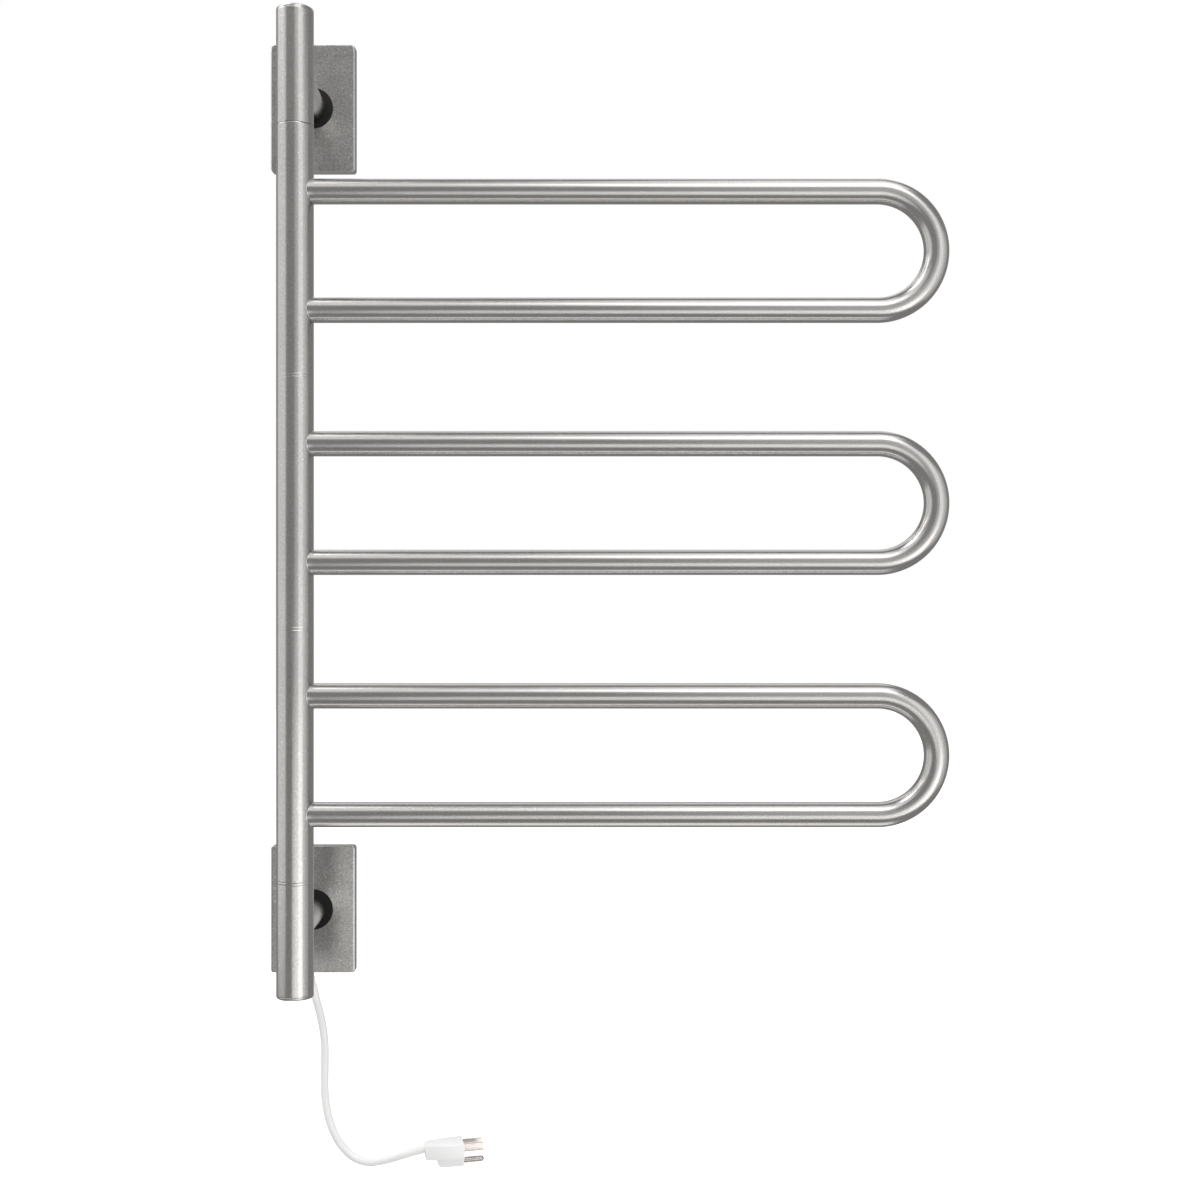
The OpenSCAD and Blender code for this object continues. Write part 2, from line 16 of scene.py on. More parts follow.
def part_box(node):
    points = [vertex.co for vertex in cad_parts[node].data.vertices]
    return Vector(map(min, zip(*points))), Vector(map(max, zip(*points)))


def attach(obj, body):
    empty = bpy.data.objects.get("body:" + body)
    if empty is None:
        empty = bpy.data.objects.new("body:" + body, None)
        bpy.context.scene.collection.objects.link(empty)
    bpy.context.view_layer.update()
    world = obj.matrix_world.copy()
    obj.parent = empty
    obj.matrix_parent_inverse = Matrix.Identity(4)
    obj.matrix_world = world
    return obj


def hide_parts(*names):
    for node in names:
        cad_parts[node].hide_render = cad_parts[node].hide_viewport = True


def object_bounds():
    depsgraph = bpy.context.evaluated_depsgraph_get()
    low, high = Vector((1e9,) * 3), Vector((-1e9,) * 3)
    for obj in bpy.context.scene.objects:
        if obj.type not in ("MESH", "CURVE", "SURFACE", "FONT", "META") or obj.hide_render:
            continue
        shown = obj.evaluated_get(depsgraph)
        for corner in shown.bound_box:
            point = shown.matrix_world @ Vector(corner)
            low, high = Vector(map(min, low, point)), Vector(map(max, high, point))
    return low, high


bl_info = {
    "name": "Swivel towel warmer",
    "version": (1, 0, 0),
    "blender": (4, 5, 0),
    "location": "View3D > Sidebar > Towel Warmer",
    "description": "Makes the pieces, finishes and studio of a swivel towel warmer",
    "category": "Object",
}

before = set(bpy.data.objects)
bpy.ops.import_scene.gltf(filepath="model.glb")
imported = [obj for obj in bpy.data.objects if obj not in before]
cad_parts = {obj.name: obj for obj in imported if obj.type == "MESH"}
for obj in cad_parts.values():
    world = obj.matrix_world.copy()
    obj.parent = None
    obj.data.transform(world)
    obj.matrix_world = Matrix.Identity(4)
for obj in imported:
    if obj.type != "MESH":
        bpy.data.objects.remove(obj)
CAD_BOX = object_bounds()

MM = 0.001
ARMS = ("upper", "middle", "lower")
ENDS = ("upper", "lower")
AXIS_EPS = 1e-9                      # a radius below this is on the axis
MERGE = 1e-6                         # points closer than this are one point
GUARD = 0.8 * MM                     # flat strip beside a broken edge, which keeps its shading clean
WELD_PARTS = (0, 0.2, 0.45, 0.7, 1)  # steps across a weld's fillet

# The cord's route from the relief's tip to the plug, in millimetres: each height is from the
# lower cover plate's bottom edge
CORD_ROUTE = (
    (5.4, -5.8, -35.2), (8, -6.2, -48.2), (9.2, -6.8, -61.2), (9.4, -7.8, -75.2),
    (9.4, -9, -89.2), (10.4, -10.6, -103.2), (13.4, -12.4, -117.2), (18.6, -14.2, -129.8),
    (26, -15.8, -140.4), (35.6, -17.2, -148), (47, -18.4, -150.8), (59, -19.4, -149),
    (70, -20, -145.8), (81, -20.2, -142.4), (92, -20, -139.6),
)


def span(node, axis):
    """A CAD node's length along one axis."""
    low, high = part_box(node)
    return high[axis] - low[axis]


def middle(node):
    """The middle of a CAD node's box."""
    low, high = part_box(node)
    return (low + high) / 2


POST_R = span("middle_sleeve", 0) / 2
POST_Y = middle("middle_sleeve").y
BAR_R = span("middle_bar", 1) / 2
LEG_GAP = span("middle_bar", 2) - 2 * BAR_R
BEND_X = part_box("middle_bar")[1].x - LEG_GAP / 2 - BAR_R
PLATE_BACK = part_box("upper_cover_plate")[1].y
PLATE_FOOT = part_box("lower_cover_plate")[0].z
RING_FRONT = -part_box("upper_ring")[0].y
ON_POST = Matrix.Translation((0, POST_Y, 0))
OUT_OF_WALL = Matrix.Rotation(math.pi / 2, 4, "X")


# ---- Sizes and finishes ----

def length(name, text, value):
    """A size in metres that the panel can change."""
    return FloatProperty(name=name, description=text, default=value, min=0, unit="LENGTH", precision=5)


def angle(name, text, degrees):
    """An angle that the panel can change."""
    return FloatProperty(name=name, description=text, default=math.radians(degrees), subtype="ANGLE",
                         unit="ROTATION")


def share(name, text, value):
    """A number from 0 to 1 that the panel can change."""
    return FloatProperty(name=name, description=text, default=value, min=0, max=1, subtype="FACTOR")


def colour(name, text, value):
    """A linear colour that the panel can change."""
    return FloatVectorProperty(name=name, description=text, default=value, size=3, min=0, max=1,
                               subtype="COLOR")


def glow(name, text, value):
    """A light's own brightness, where 1 is a white wall."""
    return FloatProperty(name=name, description=text, default=value, min=0, max=20)


class TowelWarmerPost(bpy.types.PropertyGroup):
    radius: length("Post radius", "Outer radius of the sleeves and the post's fixed ends", POST_R)
    wall: length("Tube wall", "Wall thickness of the post's tubes", 1.5 * MM)
    seam_bevel: length("Seam bevel", "Width of the broken edge at each seam", 0.03 * MM)
    cap_bevel: length("Cap bevel", "Width of the broken edge under an end cap", 0.16 * MM)
    cap_rim: length("Cap rim", "Thickness of an end cap's rim", 2.4 * MM)
    cap_round: length("Cap round", "Radius of an end cap's round edge", 1.8 * MM)
    spindle_radius: length("Spindle radius", "Outer radius of the spindle that the washers run on", 8 * MM)
    washer_pitch: length("Washer pitch", "Height from one thrust washer to the next",
                         middle("upper_sleeve").z - middle("middle_sleeve").z)
    sides: IntProperty(name="Sides", description="Flat sides round a turned piece", default=128, min=24,
                       max=256)


class TowelWarmerBar(bpy.types.PropertyGroup):
    radius: length("Bar radius", "Outer radius of the bar's tube", BAR_R)
    leg_gap: length("Leg gap", "Height between the centre lines of a bar's two legs", LEG_GAP)
    bend_start: length("Bend start", "Distance from the post's axis to the bend", BEND_X)
    weld: length("Weld fillet", "Size of the small fillet where a tube meets the post", 0.25 * MM)
    seat: length("Seat depth", "How far a tube's end sits into the post's wall", 0.5 * MM)
    saddle: length("Saddle length", "Length over which a leg's end follows the post", 14 * MM)
    sides: IntProperty(name="Sides", description="Flat sides round a bar", default=64, min=16, max=128)
    bend_steps: IntProperty(name="Bend steps", description="Rings round a bar's bend", default=64, min=16,
                            max=160)


class TowelWarmerPlate(bpy.types.PropertyGroup):
    width: length("Width", "Width of a cover plate", span("upper_cover_plate", 0))
    height: length("Height", "Height of a cover plate", span("upper_cover_plate", 2))
    depth: length("Depth", "Depth of a cover plate", span("upper_cover_plate", 1))
    sheet: length("Sheet", "Thickness of the cover plate's sheet", 1.2 * MM)
    corner: length("Corner radius", "Radius of the plate's corners", 2.5 * MM)
    bend: length("Bend radius", "Radius of the upright front edges", 1.3 * MM)
    edge: length("Edge softness", "Height of the softened edge at the plate's top and foot", 0.35 * MM)
    hole_radius: length("Hole radius", "Radius of the hole for the ring's neck", 11 * MM)
    ring_radius: length("Ring radius", "Outer radius of the black ring", span("upper_ring", 0) / 2)
    ring_bore: length("Ring bore", "Inner radius of the black ring", 7.3 * MM)
    ring_edge: length("Ring edge", "Width of the round edge on the black ring", 0.45 * MM)


class TowelWarmerStandoff(bpy.types.PropertyGroup):
    start: length("Start", "Distance from the wall to a standoff's round end", -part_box("upper_standoff")[1].y)
    end_radius: length("End radius", "Radius just past the round end", 10.6 * MM)
    radius: length("Radius", "Radius where a standoff meets the post", span("upper_standoff", 0) / 2)
    round: length("Round", "Radius of the rounded edge at the wall end", 3 * MM)
    taper_end: length("Taper end", "Distance from the wall to where the taper ends", 38 * MM)
    bore: length("Bore", "Radius of the bore that slides over the bracket's boss", 7.3 * MM)
    wire_radius: length("Wire channel", "Radius of the wire channel", 5 * MM)
    screw_radius: length("Grub screw radius", "Radius of a grub screw", 2 * MM)
    screw_at: length("Grub screw place", "Distance from the wall to a standoff's grub screw", 24 * MM)
    socket: length("Socket", "Radius across the corners of a grub screw's hexagon socket", 1.155 * MM)
    socket_depth: length("Socket depth", "Depth of the hexagon socket", 1.6 * MM)


class TowelWarmerCord(bpy.types.PropertyGroup):
    diameter: length("Cord diameter", "Diameter of the mains cord", 6.6 * MM)
    relief_diameter: length("Relief diameter", "Diameter of the cord relief at the cover plate", 7.5 * MM)
    relief_length: length("Relief length", "Length of the cord relief", 24 * MM)
    relief_lean: angle("Relief lean", "How far the relief leans to the right as it leaves the plate", 14.5)
    plug_length: length("Plug length", "Length of the plug's body", 31 * MM)
    plug_width: length("Plug width", "Width of the plug's body at the blades", 24 * MM)
    plug_height: length("Plug height", "Height of the plug's body without its rib", 11.8 * MM)
    plug_top: length("Plug top", "Height of the plug's top above the middle of its blades", 4.3 * MM)
    plug_bevel: length("Plug bevel", "Radius of the plug's moulded edges", 0.6 * MM)
    plug_turn: angle("Plug turn", "How far the plug is turned towards the wall", 10)
    plug_rise: angle("Plug rise", "How far the plug's blades rise", 2)
    blade_length: length("Blade length", "Length of a blade, with what the body holds of it", 20.9 * MM)
    blade_thick: length("Blade thickness", "Thickness of a blade", 1.5 * MM)
    blade_height: length("Blade height", "Height of a blade", 6.35 * MM)
    blade_apart: length("Blade spacing", "Distance between the middles of the two blades", 12.7 * MM)
    blade_bevel: length("Blade bevel", "Width of a blade's broken edges", 0.35 * MM)
    pin_diameter: length("Ground pin", "Diameter of the round ground pin", 4.76 * MM)
    pin_length: length("Pin length", "Length of the ground pin, with what the body holds of it", 21.4 * MM)
    pin_drop: length("Pin drop", "How far the ground pin is below the blades", 11.9 * MM)


class TowelWarmerFinish(bpy.types.PropertyGroup):
    steel: colour("Satin steel", "Colour of the satin stainless steel", (0.49, 0.479, 0.467))
    plate: colour("Plate steel", "Colour of the cover plates' sheet", (0.50, 0.490, 0.480))
    zinc: colour("Zinc", "Colour of the zinc-plated inner pieces", (0.66, 0.67, 0.68))
    black: colour("Black plastic", "Colour of the rings", (0.010, 0.010, 0.0098))
    vinyl: colour("White vinyl", "Colour of the cord", (0.95, 0.95, 0.945))
    plug: colour("Plug vinyl", "Colour of the plug's body", (0.94, 0.94, 0.94))
    blade: colour("Blade nickel", "Colour of the flat blades", (0.88, 0.83, 0.79))
    pin: colour("Pin nickel", "Colour of the ground pin", (0.56, 0.52, 0.50))
    satin: share("Satin roughness", "Roughness of the satin steel", 0.24)
    grain: FloatProperty(name="Grain scale", description="Grains to the metre across the steel", default=1400,
                         min=100, max=6000)
    relief: share("Grain depth", "Strength of the steel's fine grain", 0.01)
    # Strength of the painted glints: sparse spots where the steel's colour is brightened as highlights
    painted_glint: share("Painted Glints", "How bright the grain's glints are", 0.35)


class TowelWarmerStudio(bpy.types.PropertyGroup):
    lens: FloatProperty(name="Lens", description="Focal length of the camera", default=50, min=20, max=200,
                        unit="CAMERA")
    camera: FloatVectorProperty(name="Camera", description="Where the camera stands",
                                default=(0.2332, -1.3634, -0.0741), size=3, subtype="TRANSLATION",
                                unit="LENGTH")
    floor: FloatProperty(name="Floor height", description="Height of the pale floor", default=-0.56,
                         unit="LENGTH")
    surround: glow("Surround", "Brightness of the grey room in the metal", 0.34)
    key: glow("Key light", "Brightness of the light low at the front right", 0.95)
    broad: glow("Broad light", "Brightness of the large soft light at the right", 0.35)
    strip: glow("Strip light", "Brightness of the tall strip in front of the broad light", 0.7)
    front_top: glow("Front top light", "Brightness of the light above the front right", 1.65)
    canopy: glow("Canopy", "Brightness of the wide light above the front", 0.8)
    top_right: glow("Top right light", "Brightness of the light overhead at the right", 1.25)
    top_left: glow("Top left light", "Brightness of the light overhead at the left", 2.6)
    back_top: glow("Back top light", "Brightness of the light above and behind", 0.85)
    left_side: glow("Left side light", "Brightness of the light at the left side", 0.72)
    right_side: glow("Right side light", "Brightness of the light at the right side", 0.38)
    bounce: glow("Floor bounce", "Brightness of the light from below", 1.15)
    left_high: glow("Left high light", "Brightness of the light high on the left", 2.0)


GROUPS = {
    "towel_post": TowelWarmerPost, "towel_bar": TowelWarmerBar, "towel_plate": TowelWarmerPlate,
    "towel_standoff": TowelWarmerStandoff, "towel_cord": TowelWarmerCord,
    "towel_finish": TowelWarmerFinish, "towel_studio": TowelWarmerStudio,
}


# ---- Shader node groups ----

def group_tree(name, inputs, outputs):
    """A new shader node group with named sockets, and its input and output nodes."""
    tree = bpy.data.node_groups.new(name, "ShaderNodeTree")
    for title, kind, value in inputs:
        socket = tree.interface.new_socket(title, in_out="INPUT", socket_type=kind)
        if value is not None:
            socket.default_value = value
    for title, kind in outputs:
        tree.interface.new_socket(title, in_out="OUTPUT", socket_type=kind)
    return tree, tree.nodes.new("NodeGroupInput"), tree.nodes.new("NodeGroupOutput")


def add(tree, kind, links=(), **settings):
    """Adds a node, sets its properties and its unlinked sockets, and links the rest."""
    node = tree.nodes.new(kind)
    sockets = {}
    for key, value in settings.items():
        if key == "values":
            sockets = value
        else:
            setattr(node, key, value)
    for key, value in sockets.items():
        node.inputs[key].default_value = value
    for key, source in dict(links).items():
        tree.links.new(source, node.inputs[key])
    return node


def feed(tree, socket, value):
    """Links a socket to another one's output, or sets it to a plain value."""
    if isinstance(value, bpy.types.NodeSocket):
        tree.links.new(value, socket)
    else:
        socket.default_value = value


def maths(tree, operation, a, b, clamp=False):
    """A Math node's result for two sockets or numbers."""
    node = tree.nodes.new("ShaderNodeMath")
    node.operation, node.use_clamp = operation, clamp
    feed(tree, node.inputs[0], a)
    feed(tree, node.inputs[1], b)
    return node.outputs[0]


def spread(tree, value, low, high, to_low=0.0, to_high=1.0):
    """Maps a value's range onto another, held at its ends."""
    node = add(tree, "ShaderNodeMapRange", {"Value": value},
               values={"From Min": low, "From Max": high, "To Min": to_low, "To Max": to_high})
    return node.outputs["Result"]


def noise(tree, vector, scale, detail, roughness=0.5, distortion=0.0):
    """A Noise Texture's value. scale is a number or a socket."""
    node = add(tree, "ShaderNodeTexNoise", {"Vector": vector},
               values={"Detail": detail, "Roughness": roughness, "Distortion": distortion})
    feed(tree, node.inputs["Scale"], scale)
    return node.outputs["Fac"]


def made_once(name):
    """For a function that makes a node group: later calls find the first one by its name."""
    def wrap(make):
        def find():
            return bpy.data.node_groups.get(name) or make(name)
        return find
    return wrap


@made_once("Satin grain")
def satin_grain_group(name):
    """Fine satin grain, a mask for painted glints (sparse spots where the metal's colour is brightened as
    highlights), and the soft cloudiness of a blasted surface.
    """
    tree, given, out = group_tree(name, [
        ("Vector", "NodeSocketVector", None), ("Grain Scale", "NodeSocketFloat", 1500.0),
         ("Cloud Scale", "NodeSocketFloat", 22.0), ("Painted Glints", "NodeSocketFloat", 0.3)],
        [("Height", "NodeSocketFloat"), ("Tone", "NodeSocketFloat"), ("Painted Glint", "NodeSocketFloat")],
    )
    vector, scale = given.outputs["Vector"], given.outputs["Grain Scale"]
    # painted glints: a sparse mask of spots that the material paints as highlights
    painted_glint = spread(tree, noise(tree, vector, maths(tree, "MULTIPLY", scale, 0.45), 1.0), 0.66, 0.80)
    feed(tree, out.inputs["Height"], noise(tree, vector, scale, 3.0, 0.6))
    feed(tree, out.inputs["Tone"], noise(tree, vector, given.outputs["Cloud Scale"], 3.0, 0.55))
    feed(tree, out.inputs["Painted Glint"], maths(tree, "MULTIPLY", painted_glint, given.outputs["Painted Glints"]))
    return tree


@made_once("Handling marks")
def handling_group(name):
    """Faint smudges and hairline scratches from cleaning."""
    tree, given, out = group_tree(name, [
        ("Vector", "NodeSocketVector", None), ("Smudge Scale", "NodeSocketFloat", 30.0),
         ("Scratch Stretch", "NodeSocketVector", (30.0, 400.0, 400.0))],
        [("Smudge", "NodeSocketFloat"), ("Scratch", "NodeSocketFloat")],
    )
    smudge = noise(tree, given.outputs["Vector"], given.outputs["Smudge Scale"], 4.0, 0.6, 0.6)
    drawn = add(tree, "ShaderNodeVectorMath",
                {0: given.outputs["Vector"], 1: given.outputs["Scratch Stretch"]},
                operation="MULTIPLY")
    scratch = noise(tree, drawn.outputs["Vector"], 1.0, 2.0)
    feed(tree, out.inputs["Smudge"], spread(tree, smudge, 0.40, 0.68))
    feed(tree, out.inputs["Scratch"], spread(tree, scratch, 0.62, 0.74))
    return tree


@made_once("Edge wear")
def edge_wear_group(name):
    """Where a broken edge has been rubbed bright: the piece's own wear value, broken up by noise."""
    tree, given, out = group_tree(name, [
        ("Wear", "NodeSocketFloat", 0.0), ("Vector", "NodeSocketVector", None),
         ("Breakup Scale", "NodeSocketFloat", 260.0)],
        [("Mask", "NodeSocketFloat")],
    )
    patches = noise(tree, given.outputs["Vector"], given.outputs["Breakup Scale"], 3.0, 0.6)
    broken = spread(tree, patches, 0.35, 0.6, 0.35)
    feed(tree, out.inputs["Mask"], maths(tree, "MULTIPLY", given.outputs["Wear"], broken, clamp=True))
    return tree


@made_once("Mould stipple")
def stipple_group(name):
    """The fine texture that a mould leaves on plastic and vinyl."""
    tree, given, out = group_tree(name, [
        ("Vector", "NodeSocketVector", None), ("Stipple Scale", "NodeSocketFloat", 900.0),
         ("Flow Scale", "NodeSocketFloat", 60.0)],
        [("Height", "NodeSocketFloat"), ("Flow", "NodeSocketFloat")],
    )
    for result, scale in (("Height", "Stipple Scale"), ("Flow", "Flow Scale")):
        feed(tree, out.inputs[result], noise(tree, given.outputs["Vector"], given.outputs[scale], 2.0))
    return tree


# ---- Materials ----

def new_material(name):
    """An empty node material, its tree and its Principled BSDF."""
    material = bpy.data.materials.new(name)
    material.use_nodes = True
    return material, material.node_tree, material.node_tree.nodes["Principled BSDF"]


def own_vector(tree, along_tube):
    """Object coordinates, or the piece's own UV map in metres along and round its tube."""
    node = tree.nodes.new("ShaderNodeTexCoord")
    return node.outputs["UV" if along_tube else "Object"]


def tinted(tree, fac, low, high):
    """A colour between two tones of one finish."""
    node = tree.nodes.new("ShaderNodeMix")
    node.data_type = "RGBA"
    tree.links.new(fac, node.inputs["Factor"])
    for key, value in (("A", low), ("B", high)):
        socket = next(s for s in node.inputs if s.name == key and s.type == "RGBA")
        feed(tree, socket, value if isinstance(value, bpy.types.NodeSocket) else (*value, 1))
    return next(s for s in node.outputs if s.type == "RGBA")


def shade(tone, factor):
    """A tone made darker or lighter."""
    return tuple(min(1.0, c * factor) for c in tone)


def metal(name, tone, roughness, stretch=(1, 1, 1), along_tube=False, cloud=22.0, cloudiness=0.04,
          grain=None, depth=None, painted_glints=None, scratch=(30.0, 400.0, 400.0), scratched=0.015, speckle=0.16):
    """A satin or plated metal with grain, painted glints (its colour brightened at sparse spots as highlights),
    soft cloudiness, rubbed edges and faint handling marks.
    """
    found = bpy.data.materials.get(name)
    if found:
        return found
    finish = bpy.context.scene.towel_finish
    material, tree, shader = new_material(name)
    place = own_vector(tree, along_tube)
    drawn = add(tree, "ShaderNodeMapping", {"Vector": place}, values={"Scale": stretch}).outputs["Vector"]
    satin = add(tree, "ShaderNodeGroup", {"Vector": drawn}, node_tree=satin_grain_group(), values={
        "Grain Scale": finish.grain if grain is None else grain, "Cloud Scale": cloud,
        "Painted Glints": finish.painted_glint if painted_glints is None else painted_glints})
    marks = add(tree, "ShaderNodeGroup", {"Vector": place}, node_tree=handling_group(),
                values={"Scratch Stretch": scratch})
    rubbed = add(tree, "ShaderNodeAttribute", attribute_name="edge_wear")
    wear = add(tree, "ShaderNodeGroup", {"Wear": rubbed.outputs["Fac"], "Vector": place},
               node_tree=edge_wear_group())
    cloud_mask = spread(tree, satin.outputs["Tone"], 0.3, 0.7)
    low, high = (tinted(tree, cloud_mask, shade(tone, k * (1 - cloudiness)),
                        shade(tone, k * (1 + cloudiness)))
                 for k in (1 - speckle, 1 + speckle))
    toned = tinted(tree, spread(tree, satin.outputs["Height"], 0.3, 0.7), low, high)
    # painted glints: the colour is brightened 1.9 times at sparse spots, as painted highlights
    with_painted_glints = tinted(tree, satin.outputs["Painted Glint"], toned, shade(tone, 1.9))
    feed(tree, shader.inputs["Base Color"], tinted(tree, wear.outputs["Mask"], with_painted_glints, shade(tone, 1.16)))
    rough = spread(tree, marks.outputs["Smudge"], 0.0, 1.0, roughness - 0.012, roughness + 0.02)
    rough = maths(tree, "SUBTRACT", rough, maths(tree, "MULTIPLY", marks.outputs["Scratch"], scratched * 0.5))
    rough = maths(tree, "SUBTRACT", rough, maths(tree, "MULTIPLY", wear.outputs["Mask"], 0.05))
    feed(tree, shader.inputs["Roughness"], rough)
    height = maths(tree, "SUBTRACT", satin.outputs["Height"],
                   maths(tree, "MULTIPLY", marks.outputs["Scratch"], scratched))
    bump = add(tree, "ShaderNodeBump", {"Height": height},
               values={"Strength": finish.relief if depth is None else depth, "Distance": 0.0004})
    feed(tree, shader.inputs["Normal"], bump.outputs["Normal"])
    shader.inputs["Metallic"].default_value = 1.0
    return material


def moulded(name, tone, roughness, stipple=900.0, depth=0.05, coat=0.0, specular=0.5, along_tube=False,
            subsurface=0.0, lift=0.0):
    """Moulded plastic, vinyl or rubber with a fine stipple and slight flow marks. lift is painted light: the
    piece glows in its own colour so that it looks brighter, though it is no lamp.
    """
    found = bpy.data.materials.get(name)
    if found:
        return found
    material, tree, shader = new_material(name)
    place = own_vector(tree, along_tube)
    skin = add(tree, "ShaderNodeGroup", {"Vector": place}, node_tree=stipple_group(),
               values={"Stipple Scale": stipple})
    flow = spread(tree, skin.outputs["Flow"], 0.3, 0.7)
    feed(tree, shader.inputs["Base Color"], tinted(tree, flow, shade(tone, 0.975), shade(tone, 1.02)))
    tree.links.new(spread(tree, skin.outputs["Flow"], 0.3, 0.7, roughness - 0.03, roughness + 0.04),
                   shader.inputs["Roughness"])
    bump = add(tree, "ShaderNodeBump", {"Height": skin.outputs["Height"]},
               values={"Strength": depth, "Distance": 0.0003})
    feed(tree, shader.inputs["Normal"], bump.outputs["Normal"])
    shader.inputs["Coat Weight"].default_value = coat
    shader.inputs["Coat Roughness"].default_value = 0.15
    shader.inputs["Specular IOR Level"].default_value = specular
    # painted light: lift makes the piece glow in its own colour, as if more brightly lit
    if lift:
        shader.inputs["Emission Color"].default_value = (*tone, 1.0)
        shader.inputs["Emission Strength"].default_value = lift
    if subsurface:
        shader.inputs["Subsurface Weight"].default_value = subsurface
        shader.inputs["Subsurface Scale"].default_value = 0.0015
    return material


def bar_steel():
    """Satin steel with its grain along the bar's own bend."""
    finish = bpy.context.scene.towel_finish
    return metal("Satin steel bar", finish.steel, finish.satin, stretch=(0.85, 1, 1), along_tube=True,
                 scratch=(25.0, 500.0, 1.0), cloudiness=0.03)


def post_steel():
    """Satin steel with its grain up the post."""
    finish = bpy.context.scene.towel_finish
    return metal("Satin steel post", finish.steel, finish.satin, stretch=(1, 1, 0.85),
                 scratch=(420.0, 420.0, 25.0), cloudiness=0.03)


def turned_steel():
    """Satin steel with the fine rings of turning round a standoff. Its colour is painted 1.3 times lighter than
    the satin steel, a painted highlight for the bright reflection a standoff shows.
    """
    finish = bpy.context.scene.towel_finish
    # painted highlight: the steel's colour made 1.3 times lighter
    return metal("Satin steel turned", shade(finish.steel, 1.3), finish.satin, stretch=(0.5, 1, 0.5),
                 scratch=(25.0, 900.0, 25.0), cloudiness=0.03, scratched=0.12)


def plate_steel():
    """Fine blasted sheet steel with soft clouds and painted glints: sparse bright spots painted into its colour
    as highlights.
    """
    finish = bpy.context.scene.towel_finish
    return metal("Satin steel plate", finish.plate, finish.satin + 0.05, cloud=30.0, cloudiness=0.09,
                 grain=finish.grain * 0.82, depth=finish.relief * 1.3, painted_glints=1.0, scratched=0.0,
                 speckle=0.36)


def zinc_plate():
    """Zinc-plated steel with soft spangles."""
    finish = bpy.context.scene.towel_finish
    return metal("Zinc-plated steel", finish.zinc, 0.34, cloud=120.0, cloudiness=0.10, depth=0.05,
                 painted_glints=0.15)


# ---- Mesh making ----

SHARP = math.radians(35)


def smooth_faces(mesh, sharp, merge=False):
    """Makes a mesh smooth but for its sharp edges, after merging doubled points if asked."""
    bm = bmesh.new()
    bm.from_mesh(mesh)
    if merge:
        bmesh.ops.remove_doubles(bm, verts=bm.verts, dist=MERGE)
    for face in bm.faces:
        face.smooth = True
    for edge in bm.edges:
        edge.smooth = len(edge.link_faces) == 2 and edge.calc_face_angle(0) < sharp
    bm.to_mesh(mesh)
    bm.free()


def as_mesh(bm, name):
    """Turns a mesh in the making into a mesh of that name."""
    mesh = bpy.data.meshes.new(name)
    bm.to_mesh(mesh)
    bm.free()
    return mesh


def finished(name, mesh, material=None, sharp=SHARP):
    """Links a mesh as a new piece at the origin, smooth but for its sharp edges."""
    if sharp is not None:
        smooth_faces(mesh, sharp)
    piece = bpy.data.objects.new(name, mesh)
    bpy.context.scene.collection.objects.link(piece)
    if material is not None:
        mesh.materials.clear()
        mesh.materials.append(material)
    return piece


def evaluated_mesh(piece):
    """The plain mesh that a piece and its modifiers make."""
    bpy.context.view_layer.update()
    graph = bpy.context.evaluated_depsgraph_get()
    return bpy.data.meshes.new_from_object(piece.evaluated_get(graph), preserve_all_data_layers=True,
                                           depsgraph=graph)


def baked(piece):
    """Turns a piece and its modifiers into a plain mesh with no modifiers left."""
    made = evaluated_mesh(piece)
    piece.modifiers.clear()
    piece.data = made
    made.name = piece.name
    return piece


def degrees(start, stop, step):
    """Angles in radians from a range in degrees."""
    return [math.radians(d) for d in range(start, stop, step)]


def weld_flare(weld, part):
    """How far a weld's fillet stands out, from the weld's whole size at its foot to nothing."""
    return weld - math.sqrt(weld ** 2 - (weld * (1 - part)) ** 2)


def new_skin():
    """An empty mesh in the making, with a UV map and a wear value for its edges."""
    bm = bmesh.new()
    bm.loops.layers.uv.new("UVMap")
    bm.verts.layers.float.new("edge_wear")
    return bm


def closed_rings(bm, rings, wear, uv_step):
    """Joins rings of vertices, each to the next and the last to the first, into a closed skin.
    A ring with one vertex is a pole."""
    uv, worn = bm.loops.layers.uv["UVMap"], bm.verts.layers.float["edge_wear"]
    for ring, value in zip(rings, wear):
        for vert in ring:
            vert[worn] = value
    count = len(rings)
    distance = 0.0
    for index in range(count):
        near, far = rings[index], rings[(index + 1) % count]
        if len(near) == 1 and len(far) == 1:
            continue
        step = (near[0].co - far[0].co).length
        sides = max(len(near), len(far))
        for k in range(sides):
            n = (k + 1) % sides
            corners = [(near[k % len(near)], k, 0)]
            if len(near) > 1:
                corners.append((near[n], k + 1, 0))
            corners.append((far[n % len(far)], k + 1, step))
            if len(far) > 1:
                corners.append((far[k], k, step))
            face = bm.faces.new([c[0] for c in corners])
            for loop, (_, column, along) in zip(face.loops, corners):
                loop[uv].uv = (distance + along, column * uv_step)
        distance += step


def turned(name, outline, sides, place=None, shape=None, material=None):
    """A solid of revolution about +Z from a closed outline of (radius, height, wear).
    shape(x, y, radius, height) may give another height; place puts it in the model."""
    bm = new_skin()
    rings = []
    for radius, height, _ in outline:
        count = 1 if radius < AXIS_EPS else sides
        ring = []
        for k in range(count):
            turn = 2 * math.pi * k / sides
            x, y = radius * math.cos(turn), radius * math.sin(turn)
            z = height if shape is None else shape(x, y, radius, height)
            ring.append(bm.verts.new((x, y, z)))
        rings.append(ring)
    widest = max(o[0] for o in outline)
    closed_rings(bm, rings, [o[2] for o in outline], 2 * math.pi * widest / sides)
    bmesh.ops.recalc_face_normals(bm, faces=bm.faces)
    mesh = as_mesh(bm, name)
    if place is not None:
        mesh.transform(place)
    return finished(name, mesh, material)


